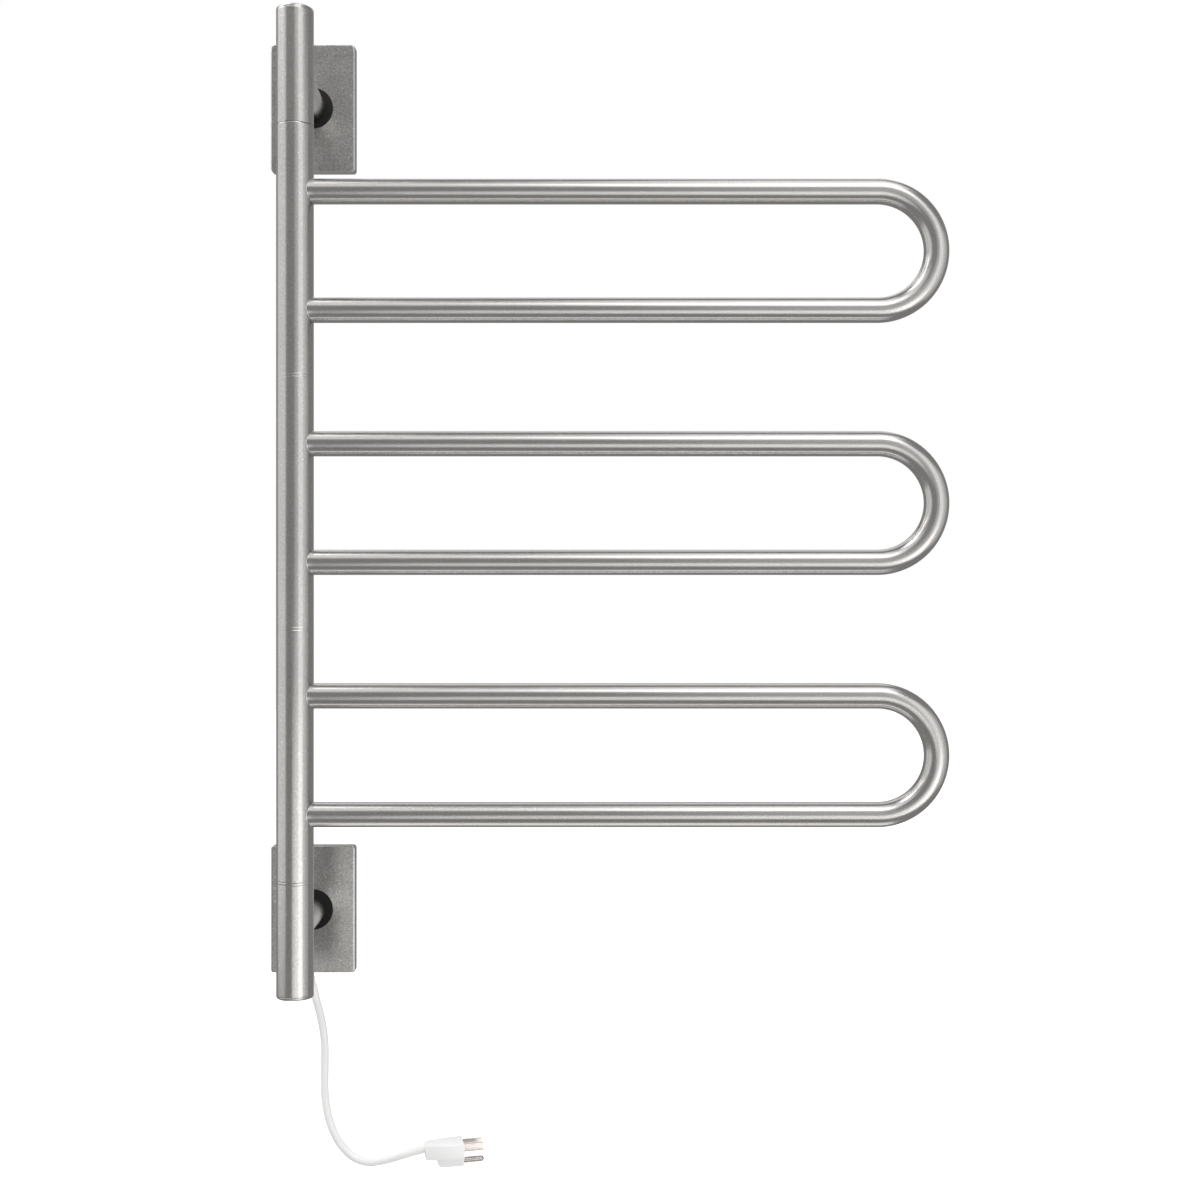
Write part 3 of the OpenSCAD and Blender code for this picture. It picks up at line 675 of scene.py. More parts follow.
def tube_outline(outer, bore, low, high, bevel_low, bevel_high, rings=()):
    """The closed outline of a tube with broken, slightly rubbed outer edges. rings adds heights."""
    outline = [(bore, low, 0), (outer - bevel_low, low, 0.6),
               (outer - 0.3 * bevel_low, low + 0.3 * bevel_low, 1),
               (outer, low + bevel_low, 0.6), (outer, low + bevel_low + GUARD, 0)]
    outline += [(outer, height, 0) for height in rings]
    outline += [(outer, high - bevel_high - GUARD, 0), (outer, high - bevel_high, 0.6),
                (outer - 0.3 * bevel_high, high - 0.3 * bevel_high, 1), (outer - bevel_high, high, 0.6),
                (bore, high, 0)]
    return outline


def combined(piece, tool, operation):
    """Adds a second piece to the first or takes it out, and removes it."""
    change = piece.modifiers.new("Combined", "BOOLEAN")
    change.operation, change.solver, change.object = operation, "EXACT", tool
    baked(piece)
    bpy.data.objects.remove(tool)


def cut(piece, mesh):
    """Takes a plain cutter mesh out of a piece."""
    combined(piece, finished("cutter", mesh, sharp=None), "DIFFERENCE")
    finished_again(piece)


def finished_again(piece, sharp=SHARP):
    """Merges a changed piece's doubled points and sets its smooth and sharp edges again."""
    smooth_faces(piece.data, sharp, merge=True)
    return piece


def rod(radius, near, far, sides=48):
    """A plain rod between two points, as a mesh to cut holes with."""
    near, far = Vector(near), Vector(far)
    bm = bmesh.new()
    turn = (far - near).to_track_quat("Z", "Y").to_matrix().to_4x4()
    bmesh.ops.create_cone(bm, cap_ends=True, segments=sides, radius1=radius, radius2=radius,
                          depth=(far - near).length, matrix=Matrix.Translation((near + far) / 2) @ turn)
    return as_mesh(bm, "rod")


def hand_over(piece, body, slot, *nodes):
    """Hides the CAD nodes that a finished piece stands for and puts the piece under its body; slot is not used.
    """
    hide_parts(*nodes)
    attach(piece, body)


# ---- Geometry node trees ----

def geometry_tree(name, inputs):
    """A new geometry node tree with a Geometry input and output and named inputs."""
    tree = bpy.data.node_groups.new(name, "GeometryNodeTree")
    tree.interface.new_socket("Geometry", in_out="INPUT", socket_type="NodeSocketGeometry")
    for title, kind, value in inputs:
        socket = tree.interface.new_socket(title, in_out="INPUT", socket_type=kind)
        if value is not None:
            socket.default_value = value
    tree.interface.new_socket("Geometry", in_out="OUTPUT", socket_type="NodeSocketGeometry")
    return tree, tree.nodes.new("NodeGroupInput"), tree.nodes.new("NodeGroupOutput")


def close_tree(tree, geometry, given, out):
    """Ends a tree in Realize Instances and Set Material."""
    real = add(tree, "GeometryNodeRealizeInstances", {"Geometry": geometry})
    painted = add(tree, "GeometryNodeSetMaterial",
                  {"Geometry": real.outputs[0], "Material": given.outputs["Material"]})
    tree.links.new(painted.outputs[0], out.inputs["Geometry"])


@made_once("Swept tube")
def swept_tube_tree(name):
    """Sweeps a round tube along a path, with a UV map in metres along and round it."""
    tree, given, out = geometry_tree(name, [
        ("Tube Radius", "NodeSocketFloat", 0.01), ("Sides", "NodeSocketInt", 48),
        ("Material", "NodeSocketMaterial", None)])
    along = add(tree, "GeometryNodeCaptureAttribute", {"Geometry": given.outputs["Geometry"]})
    along.capture_items.new("FLOAT", "Along")
    way = tree.nodes.new("GeometryNodeSplineParameter")
    tree.links.new(way.outputs["Length"], along.inputs["Along"])
    points = add(tree, "ShaderNodeMath", {0: given.outputs["Sides"]}, operation="ADD")
    points.inputs[1].default_value = 1
    arc = add(tree, "GeometryNodeCurveArc",
              {"Resolution": points.outputs[0], "Radius": given.outputs["Tube Radius"]},
              values={"Start Angle": 0.0, "Sweep Angle": 2 * math.pi})
    around = add(tree, "GeometryNodeCaptureAttribute", {"Geometry": arc.outputs["Curve"]})
    around.capture_items.new("FLOAT", "Around")
    way = tree.nodes.new("GeometryNodeSplineParameter")
    tree.links.new(way.outputs["Length"], around.inputs["Around"])
    flare = tree.nodes.new("GeometryNodeInputRadius")
    tube = add(tree, "GeometryNodeCurveToMesh", {
        "Curve": along.outputs["Geometry"], "Profile Curve": around.outputs["Geometry"],
        "Scale": flare.outputs["Radius"]}, values={"Fill Caps": True})
    pair = add(tree, "ShaderNodeCombineXYZ", {"X": along.outputs["Along"], "Y": around.outputs["Around"]})
    mapped = add(tree, "GeometryNodeStoreNamedAttribute", {"Geometry": tube.outputs["Mesh"]},
                 data_type="FLOAT2", domain="CORNER", values={"Name": "UVMap"})
    tree.links.new(pair.outputs["Vector"], next(s for s in mapped.inputs if s.name == "Value" and s.enabled))
    merged = add(tree, "GeometryNodeMergeByDistance", {"Geometry": mapped.outputs[0]},
                 values={"Distance": 2e-6})
    close_tree(tree, merged.outputs[0], given, out)
    return tree


@made_once("Saddled bar")
def saddled_bar_tree(name):
    """A swept tube whose ends follow the post they are joined to."""
    tree, given, out = geometry_tree(name, [
        ("Tube Radius", "NodeSocketFloat", 0.01), ("Sides", "NodeSocketInt", 64),
        ("Post Radius", "NodeSocketFloat", 0.014), ("Post Depth", "NodeSocketFloat", 0.0),
        ("Saddle Length", "NodeSocketFloat", 0.014), ("Material", "NodeSocketMaterial", None)])
    tube = add(tree, "GeometryNodeGroup", {
        "Geometry": given.outputs["Geometry"], "Tube Radius": given.outputs["Tube Radius"],
        "Sides": given.outputs["Sides"], "Material": given.outputs["Material"]}, node_tree=swept_tube_tree())
    place = add(tree, "ShaderNodeSeparateXYZ",
                {"Vector": tree.nodes.new("GeometryNodeInputPosition").outputs[0]})
    off = maths(tree, "SUBTRACT", place.outputs["Y"], given.outputs["Post Depth"])
    square = maths(tree, "SUBTRACT", maths(tree, "POWER", given.outputs["Post Radius"], 2.0),
                   maths(tree, "MULTIPLY", off, off))
    drop = maths(tree, "SUBTRACT", maths(tree, "SQRT", maths(tree, "MAXIMUM", square, 0.0), 0.0),
                 given.outputs["Post Radius"])
    gone = maths(tree, "DIVIDE", maths(tree, "SUBTRACT", place.outputs["X"], given.outputs["Post Radius"]),
                 given.outputs["Saddle Length"], clamp=True)
    near = maths(tree, "SUBTRACT", 1.0, gone)
    shift = add(tree, "ShaderNodeCombineXYZ", {"X": maths(tree, "MULTIPLY", drop, near)})
    seated = add(tree, "GeometryNodeSetPosition",
                 {"Geometry": tube.outputs[0], "Offset": shift.outputs["Vector"]})
    close_tree(tree, seated.outputs[0], given, out)
    return tree


@made_once("Stacked down the post")
def stacked_tree(name):
    """Repeats the object's own mesh down the post."""
    tree, given, out = geometry_tree(name, [
        ("Count", "NodeSocketInt", 3), ("Pitch", "NodeSocketFloat", 0.2),
        ("Material", "NodeSocketMaterial", None)])
    step = add(tree, "ShaderNodeCombineXYZ", {"Z": maths(tree, "MULTIPLY", given.outputs["Pitch"], -1.0)})
    places = add(tree, "GeometryNodeMeshLine",
                 {"Count": given.outputs["Count"], "Offset": step.outputs["Vector"]},
                 mode="OFFSET")
    copies = add(tree, "GeometryNodeInstanceOnPoints",
                 {"Points": places.outputs["Mesh"], "Instance": given.outputs["Geometry"]})
    close_tree(tree, copies.outputs[0], given, out)
    return tree


@made_once("Set screws")
def set_screw_tree(name):
    """A headless screw with a hexagon socket on each of the object's points, driven end first."""
    tree, given, out = geometry_tree(name, [
        ("Screw Radius", "NodeSocketFloat", 0.002), ("Length", "NodeSocketFloat", 0.004),
        ("Socket Radius", "NodeSocketFloat", 0.00115), ("Socket Depth", "NodeSocketFloat", 0.0016),
        ("Direction", "NodeSocketVector", (0.0, 0.0, 1.0)), ("Material", "NodeSocketMaterial", None)])
    chamfer = maths(tree, "MULTIPLY", given.outputs["Screw Radius"], 0.16)
    shank_long = maths(tree, "SUBTRACT", given.outputs["Length"], chamfer)
    shank = add(tree, "GeometryNodeMeshCone", {"Radius Top": given.outputs["Screw Radius"],
                "Radius Bottom": given.outputs["Screw Radius"], "Depth": shank_long}, values={"Vertices": 32})
    crown = add(tree, "GeometryNodeMeshCone", {
        "Radius Top": maths(tree, "SUBTRACT", given.outputs["Screw Radius"], chamfer),
        "Radius Bottom": given.outputs["Screw Radius"], "Depth": chamfer}, values={"Vertices": 32})
    lift = add(tree, "ShaderNodeCombineXYZ", {"Z": shank_long})
    crown_up = add(tree, "GeometryNodeTransform",
                   {"Geometry": crown.outputs["Mesh"], "Translation": lift.outputs["Vector"]})
    socket = add(tree, "GeometryNodeMeshCone", {"Radius Top": given.outputs["Socket Radius"],
                 "Radius Bottom": given.outputs["Socket Radius"],
                 "Depth": maths(tree, "ADD", given.outputs["Socket Depth"], 0.001)}, values={"Vertices": 6})
    lift = add(tree, "ShaderNodeCombineXYZ",
               {"Z": maths(tree, "SUBTRACT", given.outputs["Length"], given.outputs["Socket Depth"])})
    socket_up = add(tree, "GeometryNodeTransform",
                    {"Geometry": socket.outputs["Mesh"], "Translation": lift.outputs["Vector"]})
    joined = add(tree, "GeometryNodeMeshBoolean", operation="UNION", solver="EXACT")
    tree.links.new(crown_up.outputs[0], joined.inputs["Mesh 2"])
    tree.links.new(shank.outputs["Mesh"], joined.inputs["Mesh 2"])
    screw = add(tree, "GeometryNodeMeshBoolean", {"Mesh 1": joined.outputs["Mesh"]}, operation="DIFFERENCE",
                solver="EXACT")
    tree.links.new(socket_up.outputs[0], screw.inputs["Mesh 2"])
    turn = add(tree, "FunctionNodeAlignRotationToVector", {"Vector": given.outputs["Direction"]}, axis="Z")
    placed = add(tree, "GeometryNodeInstanceOnPoints", {
        "Points": given.outputs["Geometry"], "Instance": screw.outputs["Mesh"],
        "Rotation": turn.outputs["Rotation"]})
    close_tree(tree, placed.outputs[0], given, out)
    return tree


def grown(piece, tree, **values):
    """Runs a geometry node tree on a piece with named inputs and keeps the result as its mesh."""
    modifier = piece.modifiers.new(tree.name, "NODES")
    modifier.node_group = tree
    keys = {item.name: item.identifier for item in tree.interface.items_tree
            if item.item_type == "SOCKET" and item.in_out == "INPUT"}
    for title, value in values.items():
        modifier[keys[title.replace("_", " ")]] = value
    if piece.type == "MESH":
        return finished_again(baked(piece))
    made = evaluated_mesh(piece)
    name, path = piece.name, piece.data
    bpy.data.objects.remove(piece)
    bpy.data.curves.remove(path)
    made.name = name
    solid = finished_again(finished(name, made, sharp=None))
    if not solid.data.polygons:
        raise RuntimeError(f"{name} came out empty")
    return solid


def path_curve(name, points, radii=None):
    """An open line through points, as a curve object for a tree to follow."""
    curve = bpy.data.curves.new(name, "CURVE")
    curve.dimensions = "3D"
    spline = curve.splines.new("POLY")
    spline.points.add(len(points) - 1)
    for index, point in enumerate(points):
        spline.points[index].co = (*point, 1)
        spline.points[index].radius = 1 if radii is None else radii[index]
    piece = bpy.data.objects.new(name, curve)
    bpy.context.scene.collection.objects.link(piece)
    return piece


# ---- Stage ----

# Each softbox's name, azimuth and elevation in degrees, width and height in metres.
# Azimuth 0 is the camera's side and +90 the right.
SOFTBOXES = (
    ("key", 22, -22, 3.0, 1.35), ("broad", 40, 0, 3.4, 3.6), ("strip", 44, 0, 1.5, 3.6),
    ("front_top", 24, 50, 1.4, 1.35), ("canopy", 0, 53, 3.2, 1.35), ("top_right", 64, 72, 1.3, 1.4),
    ("top_left", -72, 66, 1.35, 1.0), ("back_top", 180, 48, 2.4, 1.4), ("left_side", -83, 8, 3.4, 2.6),
    ("right_side", 80, 0, 1.5, 2.6), ("bounce", 180, -88, 2.4, 1.5), ("left_high", -90, 50, 1.9, 1.9),
)
SOFTBOX_DISTANCE = 2.6
KEY_TINT = (1, 1, 0.985)


def soft_light(name, aim, azimuth, elevation, size, brightness, tint):
    """A rectangular softbox that faces the aim point.
    brightness is its own glow, so its power follows from its area."""
    data = bpy.data.lights.new(f"{name}_light", "AREA")
    data.shape, data.size, data.size_y = "RECTANGLE", *size
    data.energy = brightness * math.pi * size[0] * size[1]
    data.color = tint
    lamp = bpy.data.objects.new(f"{name}_light", data)
    turn, rise = math.radians(azimuth), math.radians(elevation)
    away = Vector((math.sin(turn) * math.cos(rise), -math.cos(turn) * math.cos(rise), math.sin(rise)))
    lamp.location = Vector(aim) + away * SOFTBOX_DISTANCE
    lamp.rotation_euler = away.to_track_quat("Z", "Y").to_euler()
    lamp.visible_camera = False
    bpy.context.scene.collection.objects.link(lamp)
    return lamp


class TOWELWARMER_OT_stage(bpy.types.Operator):
    """Sets the camera, the pale floor, the surround and the soft studio lights."""
    bl_idname = "towel_warmer.stage"
    bl_label = "Stage"

    def execute(self, context):
        scene, studio = context.scene, context.scene.towel_studio
        camera = bpy.data.cameras.new("camera")
        camera.lens, camera.sensor_width = studio.lens, 36
        camera.clip_start, camera.clip_end = 0.01, 60
        holder = bpy.data.objects.new("camera", camera)
        holder.location = studio.camera
        holder.rotation_euler = (math.pi / 2, 0, 0)
        scene.collection.objects.link(holder)
        scene.camera = holder
        scene.view_settings.view_transform = "Standard"
        scene.view_settings.look = "None"

        world = bpy.data.worlds.new("Pale room")
        scene.world = world
        world.use_nodes = True
        tree = world.node_tree
        tree.nodes.clear()
        seen = add(tree, "ShaderNodeBackground", values={"Color": (1, 1, 1, 1), "Strength": 1.0})
        felt = add(tree, "ShaderNodeBackground",
                   values={"Color": (1, 0.995, 0.985, 1), "Strength": studio.surround})
        ray = tree.nodes.new("ShaderNodeLightPath")
        either = add(tree, "ShaderNodeMixShader",
                     {0: ray.outputs["Is Camera Ray"], 1: felt.outputs[0], 2: seen.outputs[0]})
        add(tree, "ShaderNodeOutputWorld", {"Surface": either.outputs[0]})

        middle_of = (CAD_BOX[0] + CAD_BOX[1]) / 2
        bm = bmesh.new()
        bmesh.ops.create_grid(bm, x_segments=24, y_segments=24, size=6)
        mesh = as_mesh(bm, "floor")
        mesh.transform(Matrix.Translation((middle_of.x, middle_of.y, studio.floor)))
        floor = finished("floor", mesh, self.floor_paint(), sharp=None)
        floor.visible_diffuse = floor.visible_glossy = False

        aim = (middle_of.x - 0.1, POST_Y, middle_of.z)
        for name, turn, rise, width, depth in SOFTBOXES:
            tint = KEY_TINT if name == "key" else (1, 1, 1)
            soft_light(name, aim, turn, rise, (width, depth), getattr(studio, name), tint)
        return {"FINISHED"}

    def floor_paint(self):
        """Matt pale paint that glows enough to stay pale, with a faint unevenness."""
        material, tree, shader = new_material("Pale floor")
        patches = noise(tree, own_vector(tree, False), 3.0, 2.0)
        pale = tinted(tree, patches, (0.80, 0.80, 0.80), (0.84, 0.84, 0.84))
        feed(tree, shader.inputs["Base Color"], pale)
        shader.inputs["Roughness"].default_value = 0.9
        shader.inputs["Emission Color"].default_value = (1, 1, 1, 1)
        shader.inputs["Emission Strength"].default_value = 0.9
        return material


# ---- Cord and plug ----

def relief_axis(cord):
    """The frame of the cord relief: its top at the cover plate's foot, with +Z back up along it."""
    place = (-4 * MM, middle("cord_relief").y, PLATE_FOOT)
    return Matrix.Translation(place) @ Matrix.Rotation(-cord.relief_lean, 4, "Y")


def cord_points():
    """The cord's own points in place, below the lower cover plate."""
    return [Vector(p) * MM + Vector((0, 0, PLATE_FOOT)) for p in CORD_ROUTE]


def smooth_path(points, steps=6):
    """A line through points with rounded turns, as close points."""
    out = []
    for k in range(len(points) - 1):
        p0 = points[k - 1] if k else 2 * points[0] - points[1]
        p1, p2 = points[k], points[k + 1]
        p3 = points[k + 2] if k + 2 < len(points) else 2 * points[-1] - points[-2]
        for s in range(steps):
            t = s / steps
            out.append(0.5 * (2 * p1 + (p2 - p0) * t + (2 * p0 - 5 * p1 + 4 * p2 - p3) * t * t
                              + (3 * p1 - p0 - 3 * p2 + p3) * t ** 3))
    out.append(points[-1])
    return out


def plug_frame(cord):
    """The frame of the plug: on the cord's last point, with +X running to its blades."""
    return (Matrix.Translation(cord_points()[-1]) @ Matrix.Rotation(cord.plug_turn, 4, "Z")
            @ Matrix.Rotation(-cord.plug_rise, 4, "Y"))


class TOWELWARMER_OT_cord(bpy.types.Operator):
    """Makes the white cord and the tapered relief where it leaves the lower cover plate."""
    bl_idname = "towel_warmer.cord"
    bl_label = "Cord"

    def execute(self, context):
        cord, post, finish = context.scene.towel_cord, context.scene.towel_post, context.scene.towel_finish
        # the cord and relief glow a little (lift): painted light that brightens the white vinyl
        vinyl = moulded("White vinyl cord", finish.vinyl, 0.34, stipple=1400.0, depth=0.03, coat=0.15,
                        along_tube=True, subsurface=0.08, lift=0.06)
        relief_vinyl = moulded("White vinyl relief", finish.vinyl, 0.38, stipple=1100.0, depth=0.05, coat=0.1,
                               lift=0.1)
        axis = relief_axis(cord)
        tip_radius, top_radius = cord.diameter / 2 + 0.1 * MM, cord.relief_diameter / 2
        outline = [(0, 1.5 * MM, 0), (top_radius - 0.15 * MM, 1.5 * MM, 0)]
        steps = 48
        for k in range(steps + 1):
            down = cord.relief_length * k / steps
            radius = top_radius + (tip_radius - top_radius) * k / steps
            groove = 0.30 * MM * max(0.0,
                                     math.sin(2 * math.pi
                                              * (down - 4 * MM) / (4
                                                                   * MM))) if 4 * MM < down < 20 * MM else 0.0
            outline.append((radius - groove, -down, 0))
        outline.append((0, -cord.relief_length, 0))
        relief = turned("cord_strain_relief", outline, 64, axis, material=relief_vinyl)
        hand_over(relief, "wall_frame", "white_cord", "cord_relief")

        tip = axis @ Vector((0, 0, -cord.relief_length))
        back = (axis @ Vector((0, 0, -cord.relief_length + 3 * MM)))
        route = [back, tip, *cord_points()]
        route.append(plug_frame(cord) @ Vector((4 * MM, 0, 0)))
        path = smooth_path(route)
        piece = grown(path_curve("mains_cord", path), swept_tube_tree(), Tube_Radius=cord.diameter / 2,
                      Sides=32, Material=vinyl)
        hand_over(piece, "wall_frame", "white_cord", "cord")
        self.report({"INFO"}, f"cord {sum((b - a).length for a, b in zip(path, path[1:])) * 1000:.1f} mm")
        piece["path"] = [c for p in path for c in p]
        return {"FINISHED"}


class TOWELWARMER_OT_plug(bpy.types.Operator):
    """Makes the three-pin plug: moulded body, two flat blades and the round ground pin."""
    bl_idname = "towel_warmer.plug"
    bl_label = "Plug"

    def execute(self, context):
        cord, finish = context.scene.towel_cord, context.scene.towel_finish
        place = plug_frame(cord)
        top, foot = cord.plug_top, cord.plug_top - cord.plug_height
        plan = ((0, 7), (17, 11.3), (cord.plug_length / MM, cord.plug_width / 2 / MM))
        outline = [(x * MM, -y * MM) for x, y in plan] + [(x * MM, y * MM) for x, y in reversed(plan)]
        body = self.prism("plug_moulding", outline, foot, top)
        cover, rib_round, rib_start, rib_half, overlap = 1.2 * MM, 4.5 * MM, 9.5 * MM, 4.5 * MM, 1 * MM
        rib_foot = -(cord.pin_drop + cord.pin_diameter / 2 + cover)
        side = [(cord.plug_length, rib_foot)] + [
            (rib_start + rib_round - rib_round * math.sin(t), rib_foot + rib_round - rib_round * math.cos(t))
            for t in degrees(0, 91, 10)
        ] + [(rib_start, foot + overlap), (cord.plug_length, foot + overlap)]
        rib = self.prism("plug_rib", side, -rib_half, rib_half, upright=True)
        combined(body, rib, "UNION")
        bm = bmesh.new()
        bm.from_mesh(body.data)
        bmesh.ops.remove_doubles(bm, verts=bm.verts, dist=MERGE)
        bmesh.ops.dissolve_limit(bm, angle_limit=math.radians(1), verts=bm.verts, edges=bm.edges)
        bm.to_mesh(body.data)
        bm.free()
        rounding = body.modifiers.new("Moulded edges", "BEVEL")
        rounding.width, rounding.segments, rounding.limit_method = cord.plug_bevel, 3, "ANGLE"
        rounding.angle_limit = math.radians(40)
        baked(body)
        body.data.transform(place)
        finished_again(body, math.radians(50))
        # the plug body glows a little (lift): painted light that brightens the white vinyl
        vinyl = moulded("White vinyl plug", finish.plug, 0.40, stipple=1000.0, depth=0.06, coat=0.05,
                        lift=0.10)
        body.data.materials.append(vinyl)
        hand_over(body, "wall_frame", "white_plug", "plug_body")

        blade = metal("Nickel blade", shade(finish.blade, 0.82), 0.40, stretch=(0.2, 1, 1), cloudiness=0.03,
                      scratch=(40.0, 900.0, 900.0),
                      scratched=0.12, painted_glints=0.1)
        both = bmesh.new()
        held = 5 * MM
        for hand in (-1, 1):
            centre = (cord.plug_length - held + cord.blade_length / 2, hand * cord.blade_apart / 2, 0)
            size = (cord.blade_length, cord.blade_thick, cord.blade_height, 1)
            bmesh.ops.create_cube(both, size=1, matrix=Matrix.Translation(centre) @ Matrix.Diagonal(size))
        tips = [e for e in both.edges if all(v.co.x > cord.plug_length for v in e.verts)
                or abs((e.verts[0].co - e.verts[1].co).x) > MM]
        bmesh.ops.bevel(both, geom=tips, offset=cord.blade_bevel, offset_type="OFFSET", segments=3,
                        profile=0.5, affect="EDGES")
        mesh = as_mesh(both, "plug_flat_blades")
        mesh.transform(place)
        blades = finished("plug_flat_blades", mesh, blade, math.radians(40))
        hand_over(blades, "wall_frame", "nickel_blade", "plug_blades")

        radius = cord.pin_diameter / 2
        outline = [(0, 0, 0), (radius, 0, 0)]
        straight = cord.pin_length - radius
        outline += [(radius, straight * k / 4, 0) for k in range(1, 4)]
        outline += [(radius * math.cos(t), straight + radius * math.sin(t), 0)
                    for t in degrees(0, 90, 9)] + [(0, straight + radius, 0)]
        seat = place @ Matrix.Translation((cord.plug_length - held, 0,
                                           -cord.pin_drop)) @ Matrix.Rotation(math.pi / 2, 4, "Y")
        pin = turned("plug_ground_pin", outline, 48, seat,
                     material=metal("Nickel pin", shade(finish.pin, 0.85), 0.24, stretch=(0.2, 1, 1),
                                    cloudiness=0.04,
                                    scratch=(40.0, 900.0, 900.0), painted_glints=0.05))
        hand_over(pin, "wall_frame", "nickel_pin", "ground_pin")

        flex = bpy.data.objects["mains_cord"]
        del flex["path"]
        return {"FINISHED"}

    def prism(self, name, outline, low, high, upright=False):
        """A prism from an outline: in plan between two heights, or upright between two sides."""
        bm = bmesh.new()
        rings = [[bm.verts.new((x, level, y) if upright else (x, y, level)) for x,
                  y in outline] for level in (low, high)]
        bm.faces.new(rings[0])
        bm.faces.new(rings[1])
        count = len(outline)
        for k in range(count):
            n = (k + 1) % count
            bm.faces.new((rings[0][k], rings[0][n], rings[1][n], rings[1][k]))
        bmesh.ops.recalc_face_normals(bm, faces=bm.faces)
        return finished(name, as_mesh(bm, name), sharp=None)


# ---- Swivel bars ----

class TOWELWARMER_OT_bars(bpy.types.Operator):
    """Makes the three bent bars, each saddled to its sleeve."""
    bl_idname = "towel_warmer.bars"
    bl_label = "Bars"

    def execute(self, context):
        bar, post = context.scene.towel_bar, context.scene.towel_post
        for arm in ARMS:
            centre = middle(f"{arm}_bar").z
            points, radii = self.centre_line(bar, post, centre)
            piece = grown(path_curve(f"{arm}_bar_tube", points, radii), saddled_bar_tree(),
                          Tube_Radius=bar.radius, Sides=bar.sides, Post_Radius=post.radius, Post_Depth=POST_Y,
                          Saddle_Length=bar.saddle, Material=bar_steel())
            hand_over(piece, f"{arm}_arm", "brushed_steel", f"{arm}_bar")
        return {"FINISHED"}

    def centre_line(self, bar, post, centre):
        """The bar's centre line and its flare at the welds, from the upper leg to the lower one."""
        weld = bar.weld
        leg = [(post.radius - bar.seat, 1 + weld / bar.radius)]
        for part in WELD_PARTS:
            leg.append((post.radius + part * weld, 1 + weld_flare(weld, part) / bar.radius))
        for step in (4, 8, 13):
            leg.append((post.radius + step * MM, 1))
        run = bar.bend_start - leg[-1][0]
        leg += [(leg[8][0] + run * k / 16, 1) for k in range(1, 17)]
        reach = bar.leg_gap / 2
        upper = [((x, POST_Y, centre + reach), r) for x, r in leg]
        bend = [((bar.bend_start + reach * math.sin(t), POST_Y, centre + reach * math.cos(t)), 1)
                for t in (math.pi * k / bar.bend_steps for k in range(1, bar.bend_steps))]
        lower = [((x, POST_Y, centre - reach), r) for x, r in reversed(leg)]
        line = upper + bend + lower
        return [p for p, _ in line], [r for _, r in line]


class TOWELWARMER_OT_sleeves(bpy.types.Operator):
    """Makes the three lengths of post that turn with the bars."""
    bl_idname = "towel_warmer.sleeves"
    bl_label = "Sleeves"

    def execute(self, context):
        post = context.scene.towel_post
        for arm in ARMS:
            low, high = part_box(f"{arm}_sleeve")
            outline = tube_outline(post.radius, post.radius - post.wall, low.z, high.z, post.seam_bevel,
                                   post.seam_bevel,
                                   [low.z + (high.z - low.z) * k / 8 for k in range(1, 8)])
            piece = turned(f"{arm}_post_sleeve", outline, post.sides, ON_POST, material=post_steel())
            hand_over(piece, f"{arm}_arm", "brushed_steel", f"{arm}_sleeve")
        return {"FINISHED"}


class TOWELWARMER_OT_washers(bpy.types.Operator):
    """Makes the thrust washer under each sleeve."""
    bl_idname = "towel_warmer.washers"
    bl_label = "Thrust washers"

    def execute(self, context):
        post = context.scene.towel_post
        low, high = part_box("thrust_washers")
        thick = (high.z - low.z) - 2 * post.washer_pitch
        bevel = post.seam_bevel
        bore, outer = post.spindle_radius + 0.05 * MM, post.radius
        outline = [(bore, -thick, 0), (outer - bevel, -thick, 0.6),
                   (outer - 0.3 * bevel, 0.3 * bevel - thick, 1),
                   (outer, bevel - thick, 0.4), (outer, -thick / 2, 0), (outer, -bevel, 0.4),
                   (outer - 0.3 * bevel, -0.3 * bevel, 1), (outer - bevel, 0, 0.6), (bore, 0, 0)]
        piece = turned("post_thrust_washers", outline, post.sides, Matrix.Translation((0, POST_Y, high.z)))
        grown(piece, stacked_tree(), Count=3, Pitch=post.washer_pitch, Material=post_steel())
        hand_over(piece, "wall_frame", "brushed_steel", "thrust_washers")
        return {"FINISHED"}


# ---- Post ends, caps and standoffs ----

class TOWELWARMER_OT_post_ends(bpy.types.Operator):
    """Makes the post's two fixed ends, with the hole for the collar's grub screw behind."""
    bl_idname = "towel_warmer.post_ends"
    bl_label = "Post ends"

    def execute(self, context):
        post, standoff = context.scene.towel_post, context.scene.towel_standoff
        for end in ENDS:
            low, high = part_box(f"{end}_post_end")
            top = end == "upper"
            screw = middle(f"{end}_spindle_collar").z
            heights = sorted([screw - 3 * MM, screw + 3 * MM, low.z + 40 * MM, high.z - 30 * MM])
            outline = tube_outline(post.radius, post.radius - post.wall, low.z, high.z,
                                   post.seam_bevel if top else post.cap_bevel,
                                   post.cap_bevel if top else post.seam_bevel,
                                   [h for h in heights if low.z + 2 * MM < h < high.z - 2 * MM])
            piece = turned(f"{end}_fixed_post_end", outline, post.sides, ON_POST)
            cut(piece, rod(standoff.screw_radius, (0, POST_Y, screw), (0, POST_Y + 2 * post.radius, screw)))
            piece.data.materials.append(post_steel())
            hand_over(piece, "wall_frame", "brushed_steel", f"{end}_post_end")
        return {"FINISHED"}


